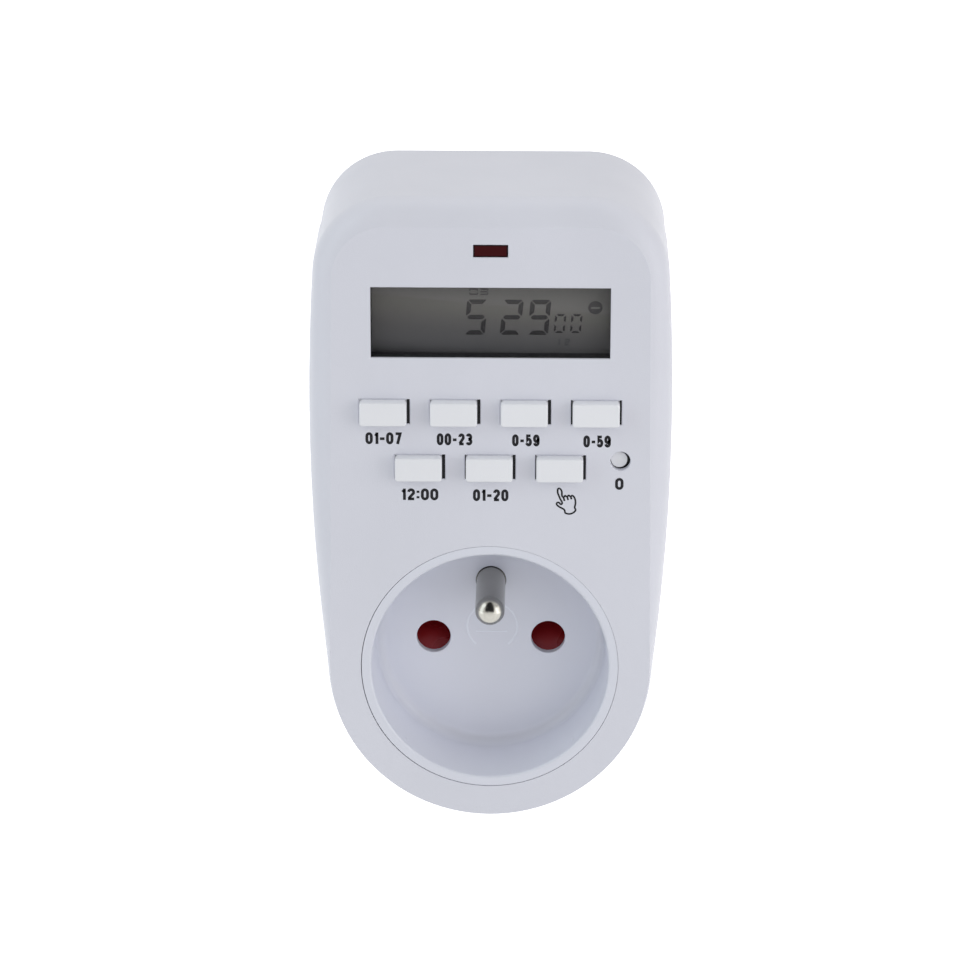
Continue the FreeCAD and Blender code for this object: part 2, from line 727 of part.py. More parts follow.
def back_cover():
    body = new_body("back_cover")
    slab(body, "shell", PARTING, BACK, lambda d: d.outline(s.seam_step, s.seam_step))
    round_edges(body, "back_rounded", s.back_rounding, lambda edge: lies_at(edge, BACK))
    round_edges(body, "seam_rounded", s.seam_rounding, lambda edge: lies_at(edge, PARTING))
    slab(body, "boss", BACK, ZERO, lambda d: d.circle(ZERO, ZERO, BOSS_RADIUS))
    round_edges(body, "boss_rounded", s.boss_rounding, lambda edge: lies_at(edge, ZERO))
    slot(body, "hollow", PARTING, BACK_INNER, lambda d: d.outline(s.wall, s.wall))

    # A tongue inside the front cover's edge, open where the screw posts and lugs stand.
    tongue = s.wall + s.slide_gap
    tongue_tip = PARTING - s.tongue_reach
    tongue_root = PARTING + s.tongue_reach
    wells = UPPER_SCREWS + LOWER_SCREWS

    def tongue_gaps(d):
        for x, z in wells:
            d.circle(x, z, s.post_radius + s.slide_gap)

    slab(body, "tongue_root", PARTING, tongue_root, lambda d: d.outline(s.wall / 2, s.wall / 2))
    slab(body, "tongue", tongue_tip, PARTING, lambda d: d.outline(tongue, tongue))
    slot(body, "tongue_inside", tongue_tip, tongue_root, lambda d: d.outline(
        tongue + s.tongue_wall, tongue + s.tongue_wall))
    slot(body, "tongue_gaps", tongue_tip, PARTING + s.seat_gap, tongue_gaps)
    slot(body, "boss_hollow", BACK_INNER, -s.boss_end, lambda d: d.circle(ZERO, ZERO, BOSS_INNER))

    # Thicker walls behind the side grooves and the earth strips.
    outer = BOSS_RADIUS - s.fit_gap * 2
    groove_half = s.groove_width / 2
    channel_floor = BOSS_RADIUS - s.channel_depth
    channel_half = s.channel_width / 2

    def ribs(d):
        high = groove_half + s.rib_wall
        reach = root(outer * outer - high * high)
        wide = channel_half + s.rib_wall
        rise = root(outer * outer - wide * wide)
        for side in SIDES:
            d.rectangle(side * (GROOVE_FLOOR - s.rib_wall), side * reach, -high, high)
            d.rectangle(-wide, wide, side * (channel_floor - s.rib_wall), side * rise)

    slab(body, "boss_ribs", BACK, -s.boss_end / 2, ribs)

    def grooves(d):
        for side in SIDES:
            d.rectangle(side * GROOVE_FLOOR, side * (BOSS_RADIUS + s.wall), -groove_half, groove_half)

    def channels(d):
        for side in SIDES:
            d.rectangle(-channel_half, channel_half, side * channel_floor, side * (BOSS_RADIUS + s.wall))

    slot(body, "side_grooves", BACK, s.fit_gap, grooves)
    slot(body, "strip_channels", BACK, s.fit_gap, channels)

    def strip_slots(d):
        wide = s.clip_half + s.slide_gap
        for side in SIDES:
            inner = channel_floor - s.rib_wall - s.wall
            d.rectangle(-wide, wide, side * inner, side * (channel_floor + s.wall / 2))

    fold = s.strip_thickness - s.strap_level
    slot(body, "strip_slots", -s.strap_level - s.slide_gap, fold + s.slide_gap, strip_slots)

    # Screw wells: a tube from the parting plane and a sunk seat for the head.
    seat = BACK - s.well_depth

    def tubes(d):
        for x, z in wells:
            d.circle(x, z, s.post_radius)

    def seats(d):
        for x, z in wells:
            d.circle(x, z, s.well_radius + s.well_wall)

    slab(body, "well_tubes", PARTING + s.seat_gap, BACK - s.wall / 2, tubes)
    slab(body, "well_seats", seat - s.wall, BACK - s.wall / 2, seats)

    def shanks(d):
        for x, z in wells:
            d.circle(x, z, s.screw_radius + s.slide_gap)

    def heads(d):
        for x, z in wells:
            d.circle(x, z, s.well_radius)

    slot(body, "well_shanks", PARTING, BACK, shanks)
    slot(body, "well_heads", seat, BACK + s.wall, heads)

    # Stand-offs of the power board, with holes for its screws.
    slab(body, "board_feet", POWER_BACK, BACK - s.wall / 2, lambda d: [
        d.circle(x, z, s.board_post_radius) for x, z in BOARD_POSTS])
    slot(body, "foot_holes", POWER_BACK, BACK - s.wall / 2, lambda d: [
        d.circle(x, z, s.small_screw_radius + s.fit_gap) for x, z in BOARD_POSTS])

    def pin_holes(d):
        for side in SIDES:
            d.circle(side * HALF_SPACING, ZERO, s.pin_root_radius + s.fit_gap)
        d.circle(ZERO, s.earth_height, s.earth_hole_radius)

    slot(body, "pin_holes", -s.boss_end, s.fit_gap, pin_holes)


def outlet_insert():
    body = new_body("outlet_insert")
    outer = OUTLET_OUTER
    skirt_end = PARTING - s.seat_gap
    flange = INNER
    flange_back = flange + s.insert_flange_thickness
    # The turned profile, radius across and Y upwards.
    profile = Drawing(body, "well_profile", "XY_Plane", ZERO)
    profile.polygon((
        (ZERO, FLOOR),
        (FLOOR_RADIUS, FLOOR),
        (MOUTH_RADIUS, FRONT),
        (outer, FRONT),
        (outer, flange),
        (OUTLET_FLANGE, flange),
        (OUTLET_FLANGE, flange_back),
        (outer, flange_back),
        (outer, skirt_end),
        (outer - s.skirt_wall, skirt_end),
        (outer - s.skirt_wall, FLOOR_BACK),
        (ZERO, FLOOR_BACK),
    ))
    turned = body.newObject("PartDesign::Revolution", "well")
    turned.Profile = profile.sketch
    turned.ReferenceAxis = (profile.sketch, ["V_Axis"])
    round_edges(body, "mouth_rounded", s.mouth_rounding, lambda edge: (
        lies_at(edge, FRONT) and edge.BoundBox.XMax < MOUTH_RADIUS.number + s.fit_gap.number))
    round_edges(body, "floor_rounded", s.floor_rounding, lambda edge: lies_at(edge, FLOOR))

    def lugs(d):
        for x, z in LOWER_SCREWS:
            d.circle(x, z, s.screw_radius + s.well_wall)

    def posts(d):
        for x, z in CARRIER_SCREWS:
            d.circle(x, z, s.post_wall + s.small_screw_radius)

    slab(body, "lugs", flange, skirt_end, lugs)
    slab(body, "carrier_posts", FLOOR_BACK - s.floor_thickness / 2, PLATE, posts)

    def lug_holes(d):
        for x, z in LOWER_SCREWS:
            d.circle(x, z, s.screw_radius + s.fit_gap)

    def post_holes(d):
        for x, z in CARRIER_SCREWS:
            d.circle(x, z, s.small_screw_radius + s.fit_gap)

    slot(body, "lug_holes", flange_back, skirt_end, lug_holes)
    slot(body, "post_holes", FLOOR_BACK + s.seat_gap, PLATE, post_holes)

    def holes(d):
        for side in SIDES:
            d.circle(side * HALF_SPACING, ZERO, s.contact_hole_radius)
        d.circle(ZERO, s.earth_height, s.pin_root_radius + s.fit_gap)

    slot(body, "holes", FLOOR, FLOOR_BACK, holes)
    wide = (s.contact_hole_radius * 2 + s.fit_gap).number
    round_edges(body, "holes_rounded", s.hole_rounding, lambda edge: (
        lies_at(edge, FLOOR) and edge.BoundBox.XLength < wide and abs(edge.BoundBox.Center.z) < NEAR))


def contact_carrier():
    body = new_body("contact_carrier")
    slab(body, "plate", PLATE, PLATE_BACK, lambda d: d.circle(ZERO, ZERO, CARRIER_RADIUS))
    rail = BAR_HALF + s.slide_gap

    def rails(d):
        outer_low = root(CARRIER_RADIUS * CARRIER_RADIUS - rail * rail) - s.fit_gap
        for side in SIDES:
            d.rectangle(side * rail, side * (rail + s.rail_wall), -outer_low + s.rail_wall, s.rail_top)
        half = s.spring_radius + s.wall
        d.rectangle(-half, half, LEDGE - s.ledge_wall, LEDGE)

    slab(body, "rails", FLOOR_BACK + s.fit_gap, PLATE, rails)

    def pockets(d):
        for side in SIDES:
            d.circle(side * HALF_SPACING, ZERO, s.contact_outer + s.slide_gap + s.pocket_wall)

    slab(body, "pockets", PLATE_BACK, PLATE_BACK + s.pocket_length, pockets)

    def pocket_bores(d):
        for side in SIDES:
            d.circle(side * HALF_SPACING, ZERO, s.contact_outer + s.slide_gap)

    def passages(d):
        for side in SIDES:
            d.circle(side * HALF_SPACING, ZERO, s.contact_hole_radius)
        for x, z in CARRIER_SCREWS:
            d.circle(x, z, s.small_screw_radius + s.slide_gap)
        d.circle(ZERO, s.earth_height, s.tail_radius + s.slide_gap)

    slot(body, "pocket_bores", PLATE_BACK, PLATE_BACK + s.pocket_length, pocket_bores)
    slot(body, "passages", PLATE, PLATE_BACK, passages)


def strip(name, left, right, points):
    """A folded strip of sheet, from its profile seen from the side, Y across and Z up, and its edges in X."""
    body = new_body(name)
    left, right = as_size(left), as_size(right)
    drawing = Drawing(body, name + "_profile", "YZ_Plane", left)
    drawing.polygon(points)
    pad(body, name + "_sheet", drawing, right - left)
    return body


def pierce(body, name, radius, front, back, x, z):
    slot(body, name, front, back, lambda d: d.circle(x, z, radius))


def safety_shutter():
    body = new_body("safety_shutter")
    low = -s.wedge_half_height
    high = s.wedge_half_height
    for side, name in zip(SIDES, ("left", "right")):
        middle = side * HALF_SPACING
        drawing = Drawing(body, name + "_wedge_profile", "YZ_Plane", middle)
        drawing.polygon((
            (SHUTTER, low),
            (SHUTTER, low - s.bar_height),
            (SHUTTER_BACK, low - s.bar_height),
            (SHUTTER_BACK, high),
            (SHUTTER + s.wedge_rise, high),
        ))
        pad(body, name + "_wedge", drawing, s.wedge_half_width * 2, midplane=True)
    slab(body, "bar", SHUTTER, SHUTTER_BACK, lambda d: d.rectangle(
        -BAR_HALF, BAR_HALF, low - s.bar_height, low))


def shutter_spring():
    """A coil between the shutter's bar and the carrier's ledge."""
    body = new_body("shutter_spring")
    top = -(s.wedge_half_height + s.bar_height + s.seat_gap)
    bottom = LEDGE + s.seat_gap
    height = top - bottom - s.spring_wire
    middle = (SHUTTER + SHUTTER_BACK) / 2
    drawing = Drawing(body, "wire", "YZ_Plane", ZERO)
    drawing.circle(middle + s.spring_radius, bottom + s.spring_wire / 2, s.spring_wire / 2)
    foot = FreeCAD.Vector(middle.number, bottom.number, 0)
    head = FreeCAD.Vector(middle.number, top.number, 0)
    line = drawing.sketch.addGeometry(Part.LineSegment(foot, head), True)
    drawing.tie("Vertical", line)
    drawing.pin(line, 1, middle, bottom)
    drawing.measure("DistanceY", line, 1, line, 2, top - bottom)
    coil = body.newObject("PartDesign::AdditiveHelix", "coil")
    coil.Profile = drawing.sketch
    coil.ReferenceAxis = (drawing.sketch, ["Axis0"])
    coil.Mode = 0
    bind(coil, "Pitch", height / s.spring_turns)
    bind(coil, "Height", height)


def round_pin(name, x, z, tip, steps, rounding):
    """A turned pin along Y. From its rounded tip, steps gives each radius and the level where it ends."""
    body = new_body(name)
    drawing = Drawing(body, name + "_profile", "XY_Plane", z)
    x = as_size(x)
    points = [(x, tip)]
    level = tip
    for radius, end in steps:
        points.append((x + radius, level))
        points.append((x + radius, end))
        level = end
    points.append((x, level))
    drawing.polygon(points)
    axis = drawing.sketch.addGeometry(Part.LineSegment(
        FreeCAD.Vector(x.number, tip.number, 0), FreeCAD.Vector(x.number, level.number, 0)), True)
    drawing.tie("Coincident", axis, 1, 0, 1)
    drawing.tie("Coincident", axis, 2, len(points) - 1, 1)
    turned = body.newObject("PartDesign::Revolution", name + "_turned")
    turned.Profile = drawing.sketch
    turned.ReferenceAxis = (drawing.sketch, ["Axis0"])
    round_edges(body, name + "_tip", rounding, lambda edge: lies_at(edge, tip))


def pins():
    """The earth pin of the outlet, riveted behind the carrier, and the two pins of the plug."""
    round_pin("outlet_earth_pin", ZERO, s.earth_height, FLOOR - s.earth_pin_length, (
        (s.pin_radius, FLOOR),
        (s.pin_root_radius, FLOOR_BACK),
        (s.earth_shoulder_radius, FLOOR_BACK + s.earth_shoulder),
        (s.tail_radius, PLATE_BACK + s.strip_thickness),
    ), s.pin_radius - s.fit_gap)
    head = -s.boss_end
    for side, name in zip(SIDES, ("live_pin", "neutral_pin")):
        round_pin(name, side * HALF_SPACING, ZERO, s.plug_pin_length, (
            (s.pin_radius, ZERO),
            (s.pin_root_radius, head),
            (s.head_radius, head - s.head_length),
            (s.tail_radius, TAIL_END),
        ), s.pin_tip)


STRIP_BACK = TAIL_END + s.strip_thickness
CONTACT_END = PLATE_BACK + s.contact_length


def contacts():
    for side, name in zip(SIDES, ("live_contact", "neutral_contact")):
        body = new_body(name)
        x = side * HALF_SPACING
        front = PLATE_BACK + s.fit_gap
        slab(body, name + "_tube", front, CONTACT_END, lambda d: d.circle(x, ZERO, s.contact_outer))
        slot(body, name + "_bore", front, CONTACT_END, lambda d: d.circle(x, ZERO, s.contact_inner))
        slot(body, name + "_slit", front, CONTACT_END - s.contact_outer, lambda d: d.rectangle(
            x - s.contact_slit / 2, x + s.contact_slit / 2, -s.contact_outer - s.wall, ZERO))


def busbars():
    half = HALF_SPACING
    reach = BUSBAR_OUTER - s.strip_thickness
    tail_hole = s.tail_radius + s.fit_gap
    # Neutral runs straight from its pin to its contact.
    body = new_body("neutral_busbar")
    drawing = Drawing(body, "neutral_profile", "XY_Plane", -s.strip_half)
    drawing.polygon((
        (half - s.strip_half, TAIL_END),
        (reach, TAIL_END),
        (reach, CONTACT_END - s.strip_half),
        (BUSBAR_OUTER, CONTACT_END - s.strip_half),
        (BUSBAR_OUTER, STRIP_BACK),
        (half - s.strip_half, STRIP_BACK),
    ))
    pad(body, "neutral_sheet", drawing, s.strip_half * 2)
    pierce(body, "neutral_hole", tail_hole, TAIL_END, STRIP_BACK, half, ZERO)
    # Live climbs from its pin to the back of the power board.
    rise = s.earth_height
    body = strip("live_busbar", -half - s.strip_half, -half + s.strip_half, (
        (STRIP_BACK, -s.strip_half),
        (STRIP_BACK, rise + s.strip_thickness),
        (POWER_BACK + s.strip_thickness, rise + s.strip_thickness),
        (POWER_BACK + s.strip_thickness, PARTS_BOTTOM + s.strip_half),
        (POWER_BACK, PARTS_BOTTOM + s.strip_half),
        (POWER_BACK, rise),
        (TAIL_END, rise),
        (TAIL_END, -s.strip_half),
    ))
    pierce(body, "live_hole", tail_hole, TAIL_END, STRIP_BACK, -half, ZERO)
    # Two flat links from the contacts to the power board, on the carrier.
    low = s.contact_outer + s.fit_gap
    for side, name in zip(SIDES, ("switched_link", "neutral_link")):
        middle = side * half
        link = block(name + "_bar", middle - s.link_half, middle + s.link_half, PLATE_BACK,
                     PLATE_BACK + s.strip_thickness, low, PARTS_BOTTOM - s.wall / 2)
        pocket_outer = s.contact_outer + s.slide_gap * 2 + s.pocket_wall
        clearance = rod(name + "_clearance", pocket_outer, PLATE_BACK, PLATE_BACK + s.pocket_length,
                        middle, ZERO)
        node(cut(name + "_cut", link, [clearance]), name)


def earth_path():
    # The sleeve behind the plug's earth hole.
    outer = s.earth_hole_radius + s.sleeve_wall
    front = -(s.boss_end + s.sleeve_length)
    tube = rod("sleeve_tube", outer, front, -s.boss_end, ZERO, s.earth_height)
    bore = rod("sleeve_bore", s.earth_hole_radius, front - s.wall, s.wall, ZERO, s.earth_height)
    node(cut("sleeve", tube, [bore]), "earth_sleeve")
    # The strap: a plate across the boss, a leg forwards and a foot on the carrier.
    level = -s.strap_level - s.strip_thickness
    foot = PLATE_BACK
    top = BOSS_RADIUS - s.channel_depth - s.rib_wall - s.seat_gap
    body = strip("earth_strap", -s.strap_half, s.strap_half, (
        (level, -top),
        (level + s.strip_thickness, -top),
        (level + s.strip_thickness, top),
        (foot, top),
        (foot, s.earth_height - s.strap_foot),
        (foot + s.strip_thickness, s.earth_height - s.strap_foot),
        (foot + s.strip_thickness, top - s.strip_thickness),
        (level, top - s.strip_thickness),
    ))
    passage = outer + s.seat_gap
    pierce(body, "strap_passage", passage, level - s.wall, level + s.wall, ZERO, s.earth_height)
    tail_hole = s.tail_radius + s.fit_gap
    pierce(body, "strap_rivet", tail_hole, foot, foot + s.strip_thickness, ZERO, s.earth_height)
    # The two side strips of the plug, bulged outwards and folded in behind the strap.
    base = BOSS_RADIUS - s.channel_depth + s.fit_gap
    back = -s.boss_end / 2
    inner = top - s.strip_half
    fold = s.strip_thickness - s.strap_level
    for side, name in ((1, "upper_earth_clip"), (-1, "lower_earth_clip")):
        middle = (fold + back) / 2
        bulge = base + s.clip_bulge
        thick = s.strip_thickness
        points = (
            (-s.strap_level, inner),
            (fold, inner),
            (fold, base),
            (middle - s.wall, bulge),
            (middle + s.wall, bulge),
            (back, base),
            (back, base + thick),
            (middle + s.wall, bulge + thick),
            (middle - s.wall, bulge + thick),
            (-s.strap_level, base + thick),
        )
        strip(name, -s.clip_half, s.clip_half, tuple((y, side * z) for y, z in points))


def pin_retainer():
    """The plate that holds the heads of both pins and the earth sleeve against the end of the plug."""
    back = -(s.boss_end + s.head_length)
    front = back - s.retainer_thickness
    plate = rod("retainer_plate", BOSS_INNER - s.retainer_play, front, back, ZERO, ZERO)
    wide = GROOVE_FLOOR - s.rib_wall - s.seat_gap
    frame = block("retainer_frame", -wide, wide, front, back, -s.strap_half - s.wall,
                  s.strap_half + s.earth_height)
    passages = (
        ("live", s.tail_radius + s.slide_gap, -HALF_SPACING, ZERO),
        ("neutral", s.tail_radius + s.slide_gap, HALF_SPACING, ZERO),
        ("earth", s.earth_hole_radius + s.sleeve_wall + s.fit_gap, ZERO, s.earth_height),
    )
    tools = [rod("retainer_" + name, radius, front - s.wall, back + s.wall, x, z)
             for name, radius, x, z in passages]
    common = doc.addObject("Part::Common", "retainer_blank")
    common.Base = plate
    common.Tool = frame
    node(cut("retainer", common, tools), "pin_retainer")


def display():
    half = s.window_width / 2 - s.fit_gap
    high = s.window_height / 2 - s.fit_gap
    middle = WINDOW
    face = FRONT + s.window_recess
    pane = block("window_pane", -half, half, face, WINDOW_BACK, middle - high, middle + high)
    half = half + s.flange_margin
    high = high + s.flange_margin
    flange = block("window_flange", -half, half, INNER, WINDOW_BACK, middle - high, middle + high)
    node(fuse("window", [pane, flange]), "display_window")

    half = s.window_width / 2 + s.glass_margin
    high = s.window_height / 2 + s.glass_margin
    node(block("glass", -half, half, GLASS, GLASS_BACK, middle - high, middle + high), "lcd_panel")

    gap = s.slide_gap
    wide = half + gap + s.frame_wall
    tall = high + gap + s.frame_wall
    strip_low = middle - high + s.frame_ledge
    body = new_body("lcd_frame")
    slab(body, "frame_walls", GLASS, CONTROL, lambda d: d.rectangle(
        -wide, wide, middle - tall, middle + tall))
    slot(body, "frame_seat", GLASS, GLASS_BACK + gap, lambda d: d.rectangle(
        -half - gap, half + gap, middle - high - gap, middle + high + gap))
    slot(body, "frame_opening", GLASS, CONTROL, lambda d: d.rectangle(
        s.frame_ledge - half, half - s.frame_ledge, strip_low + s.strip_width + s.frame_ledge,
        middle + high - s.frame_ledge))
    slot(body, "frame_channel", GLASS, CONTROL, lambda d: d.rectangle(
        s.frame_ledge - half, half - s.frame_ledge, strip_low - gap, strip_low + s.strip_width + gap))
    node(block("connector", s.frame_ledge + gap - half, half - gap - s.frame_ledge, GLASS_BACK, CONTROL,
               strip_low, strip_low + s.strip_width), "lcd_connector")


def indicator():
    half = s.lens_width / 2 - s.fit_gap
    high = s.lens_height / 2 - s.fit_gap
    middle = LENS
    face = FRONT + s.lens_recess
    pane = block("lens_pane", -half, half, face, WINDOW_BACK, middle - high, middle + high)
    wide = half + s.flange_thickness
    tall = high + s.flange_thickness / 2
    flange = block("lens_flange", -wide, wide, INNER, WINDOW_BACK, middle - tall, middle + tall)
    node(fuse("lens", [pane, flange]), "indicator_lens")
    seat = CONTROL - s.lamp_foot
    lamp = block("lamp", -half, half, GLASS, seat, middle - high, middle + high)
    thin = s.lamp_leg / 2
    legs = []
    for side, name in zip(SIDES, ("left", "right")):
        x = side * s.header_pitch / 2
        legs.append(block(name + "_leg", x - thin, x + thin, seat, CONTROL, middle - thin, middle + thin))
    node(fuse("lamp_blank", [lamp] + legs), "indicator_led")


def key_cap(name, middle, level, lean):
    """A cap through its hole, a flange behind the wall and a stem down to the switch."""
    body = new_body("key_" + name)
    cap_middle = middle + s.key_shift * lean
    half = s.key_width / 2
    high = s.key_height / 2
    slab(body, name + "_cap", FRONT - s.key_proud, KEY_FLANGE, lambda d: d.rectangle(
        cap_middle - half, cap_middle + half, level - high, level + high))
    top = FRONT - s.key_proud
    round_edges(body, name + "_corners", s.key_corner, lambda edge: (
        edge.BoundBox.YLength > s.key_proud.number))
    round_edges(body, name + "_soft", s.key_rounding, lambda edge: lies_at(edge, top))
    wide = KEY_HOLE_WIDTH / 2 + s.key_margin
    tall = KEY_HOLE_HEIGHT / 2 + s.key_margin
    slab(body, name + "_flange", KEY_FLANGE, KEY_FLANGE + s.flange_thickness, lambda d: d.rectangle(
        middle - wide, middle + wide, level - tall, level + tall))
    stem = s.stem_width / 2
    slab(body, name + "_stem", KEY_FLANGE + s.flange_thickness, PLUNGER, lambda d: d.rectangle(
        middle - stem, middle + stem, level - stem, level + stem))


def keys():
    places = []
    for name, place, level, lean in KEYS:
        key_cap(name, place * KEY_PITCH, level, lean)
        places.append((name, place * KEY_PITCH, level))
    body = new_body("reset_button")
    x, z = RESET_ACROSS, RESET_HEIGHT
    flange_back = KEY_FLANGE + s.flange_thickness
    slab(body, "reset_cap", FRONT + s.reset_recess, KEY_FLANGE, lambda d: d.circle(
        x + s.key_shift, z, s.reset_radius))
    slab(body, "reset_flange", KEY_FLANGE, flange_back, lambda d: d.circle(
        x, z, s.reset_hole_radius + s.key_margin))
    slab(body, "reset_stem", flange_back, PLUNGER, lambda d: d.circle(x, z, s.reset_radius))
    places.append(("reset", x, z))

    bases = []
    for name, x, z in places:
        half = s.switch_width / 2
        base = block(name + "_switch", x - half, x + half, SWITCH, CONTROL, z - half, z + half)
        bore = rod(name + "_switch_bore", s.plunger_radius + s.slide_gap, SWITCH - s.wall,
                   SWITCH + s.plunger_sunk + s.key_travel + s.seat_gap, x, z)
        bases.append(cut(name + "_switch_base", base, [bore]))
        plunger = rod(name + "_plunger", s.plunger_radius, PLUNGER, SWITCH + s.plunger_sunk, x, z)
        node(plunger, "plunger_" + name)
    group("switch_bases", bases)


def board(name, front):
    body = new_body(name)
    bottom, top = BOARD_BOTTOM, BOARD_TOP
    back = front + s.board_thickness
    slab(body, name + "_blank", front, back, lambda d: d.rectangle(-BOARD_HALF, BOARD_HALF, bottom, top))

    def upper_corner(edge):
        box = edge.BoundBox
        along = box.YMax - box.YMin > s.board_thickness.number / 2
        return along and box.XMax - box.XMin < NEAR and box.ZMin > (top.number + bottom.number) / 2

    round_edges(body, name + "_corners", s.corner_radius - s.board_margin, upper_corner)

    def notches(d):
        for x, z in UPPER_SCREWS:
            d.circle(x, z, s.well_radius + s.well_wall + s.seat_gap)

    slot(body, name + "_notches", front, back, notches)

    def holes(d):
        for x, z in BOARD_POSTS:
            d.circle(x, z, s.small_screw_radius + s.slide_gap)

    slot(body, name + "_holes", front, back, holes)


def power_parts():
    relay_right = RELAY_LEFT + s.relay_width
    relay_top = PARTS_BOTTOM + s.relay_height
    node(block("relay_case", RELAY_LEFT, relay_right, POWER - s.relay_length, POWER,
               PARTS_BOTTOM, relay_top), "relay")
    film_left = relay_right + s.film_gap
    film_top = PARTS_BOTTOM + s.film_height
    node(block("film_case", film_left, film_left + s.film_width, POWER - s.film_length, POWER,
               PARTS_BOTTOM, film_top), "film_capacitor")
    node(rod("can", s.can_radius, POWER - s.can_length, POWER, film_left + s.film_width / 2 - s.can_shift,
             film_top + s.can_gap + s.can_radius), "electrolytic_capacitor")
    disc = doc.addObject("Part::Cylinder", "disc")
    turn = FreeCAD.Rotation(FreeCAD.Vector(0, 0, 1), FreeCAD.Vector(1, 0, 0))
    disc.Placement = FreeCAD.Placement(FreeCAD.Vector(), turn)
    bind(disc, "Radius", s.disc_radius)
    bind(disc, "Height", s.disc_thickness)
    bind(disc, "Placement.Base.x", RELAY_LEFT + (s.relay_width - s.disc_thickness) / 2)
    bind(disc, "Placement.Base.y", POWER - s.disc_radius)
    bind(disc, "Placement.Base.z", relay_top + s.disc_gap + s.disc_radius)
    node(disc, "varistor")
    diodes = []
    for number in range(DIODES):
        diode = doc.addObject("Part::Cylinder", "diode_{}".format(number))
        bind(diode, "Radius", s.diode_radius)
        bind(diode, "Height", s.diode_length)
        bind(diode, "Placement.Base.x", s.diode_pitch * (number - (DIODES - 1) / 2))
        bind(diode, "Placement.Base.y", POWER - s.diode_radius)
        bind(diode, "Placement.Base.z", relay_top + s.diode_gap)
        diodes.append(diode)
    group("rectifier_diodes", diodes)


def control_parts():
    half = s.chip_width / 2
    node(rod("cell", s.battery_radius, CONTROL_BACK, CONTROL_BACK + s.battery_thickness,
             -(half + s.battery_gap + s.battery_radius), BATTERY), "backup_battery")
    middle = HEADER - s.chip_drop
    node(block("chip", -half, half, CONTROL_BACK, CONTROL_BACK + s.chip_thickness, middle - half,
               middle + half), "timer_chip")
    crystal = doc.addObject("Part::Cylinder", "crystal")
    bind(crystal, "Radius", s.crystal_radius)
    bind(crystal, "Height", s.crystal_length)
    bind(crystal, "Placement.Base.x", half + s.crystal_gap + s.crystal_radius)
    bind(crystal, "Placement.Base.y", CONTROL_BACK + s.crystal_radius)
    bind(crystal, "Placement.Base.z", BATTERY - s.crystal_length / 2)
    node(crystal, "quartz_crystal")
    span = s.header_pitch * HEADER_PINS
    half = s.header_width / 2
    strip_bar = block("header_strip", -span / 2, span / 2, CONTROL_BACK, CONTROL_BACK + s.header_width,
                      HEADER - half, HEADER + half)
    thin = s.header_pin / 2
    pieces = [strip_bar]
    for number in range(HEADER_PINS):
        x = s.header_pitch * number + (s.header_pitch - span) / 2
        start = CONTROL_BACK + s.header_width / 2
        pieces.append(block("header_pin_{}".format(number), x - thin, x + thin, start, POWER,
                            HEADER - thin, HEADER + thin))
    node(fuse("header", pieces), "board_header")


def fasteners():
    seat = BACK - s.well_depth
    housing = []
    for number, (x, z) in enumerate(UPPER_SCREWS):
        housing.append(screw("upper_screw_{}".format(number), s.screw_radius, s.screw_head_radius,
                             s.screw_head_height, FRONT + s.bevel_depth + s.wall, seat, x, z))
    for number, (x, z) in enumerate(LOWER_SCREWS):
        housing.append(screw("lower_screw_{}".format(number), s.screw_radius, s.screw_head_radius,
                             s.screw_head_height, INNER + s.insert_flange_thickness + s.wall, seat, x, z))
    group("housing_screws", housing)
    control = [screw("control_screw_{}".format(number), s.small_screw_radius, s.small_head_radius,
                     s.small_head_height, INNER + s.wall, CONTROL_BACK, x, z)
               for number, (x, z) in enumerate(BOARD_POSTS)]
    group("board_screws", control)
    power = []
    for number, (x, z) in enumerate(BOARD_POSTS):
        name = "power_screw_{}".format(number)
        shank = rod(name + "_shank", s.small_screw_radius, POWER, BACK_INNER, x, z)
        head = rod(name + "_head", s.small_head_radius, POWER - s.small_head_height, POWER, x, z)
        power.append(fuse(name, [shank, head]))
    group("power_screws", power)
    carrier = [screw("carrier_screw_{}".format(number), s.small_screw_radius, s.small_head_radius,
                     s.small_head_height, FLOOR_BACK + s.wall, PLATE_BACK, x, z)
               for number, (x, z) in enumerate(CARRIER_SCREWS)]
    group("carrier_screws", carrier)


def write_parts():
    """Writes every sub-part as a STEP file named after its label, once all of them are sound."""
    doc.recompute()
    for item in doc.Objects:
        if "Invalid" in item.State or "Error" in item.State:
            raise RuntimeError("{} failed: {}".format(item.Name, item.State))
    for item in NODES:
        if item.Shape.isNull() or not item.Shape.isValid():
            raise RuntimeError("{} has no sound shape".format(item.Label))
    os.makedirs("parts", exist_ok=True)
    for item in NODES:
        item.Shape.exportStep("parts/{}.step".format(item.Label))
        print(item.Label, len(item.Shape.Solids), round(item.Shape.Volume, 1))


front_cover()
back_cover()
outlet_insert()
contact_carrier()
safety_shutter()
shutter_spring()
pins()
contacts()
busbars()
earth_path()
pin_retainer()
display()
indicator()
keys()
board("control_board", CONTROL)
board("power_board", POWER)
power_parts()
control_parts()
fasteners()
write_parts()
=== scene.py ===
import bmesh
import bpy
import json
import math
from mathutils import Euler, Matrix, Vector


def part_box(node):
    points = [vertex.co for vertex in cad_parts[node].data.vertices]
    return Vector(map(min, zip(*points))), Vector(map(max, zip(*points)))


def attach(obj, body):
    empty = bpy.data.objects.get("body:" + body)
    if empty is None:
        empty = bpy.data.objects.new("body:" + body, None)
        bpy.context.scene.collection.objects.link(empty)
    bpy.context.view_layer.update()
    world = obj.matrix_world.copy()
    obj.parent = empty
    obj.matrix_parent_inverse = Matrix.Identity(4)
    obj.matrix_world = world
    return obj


# Plug-in timer, dressed over its frame. Metres; X to the right, Y towards the wall, Z up.

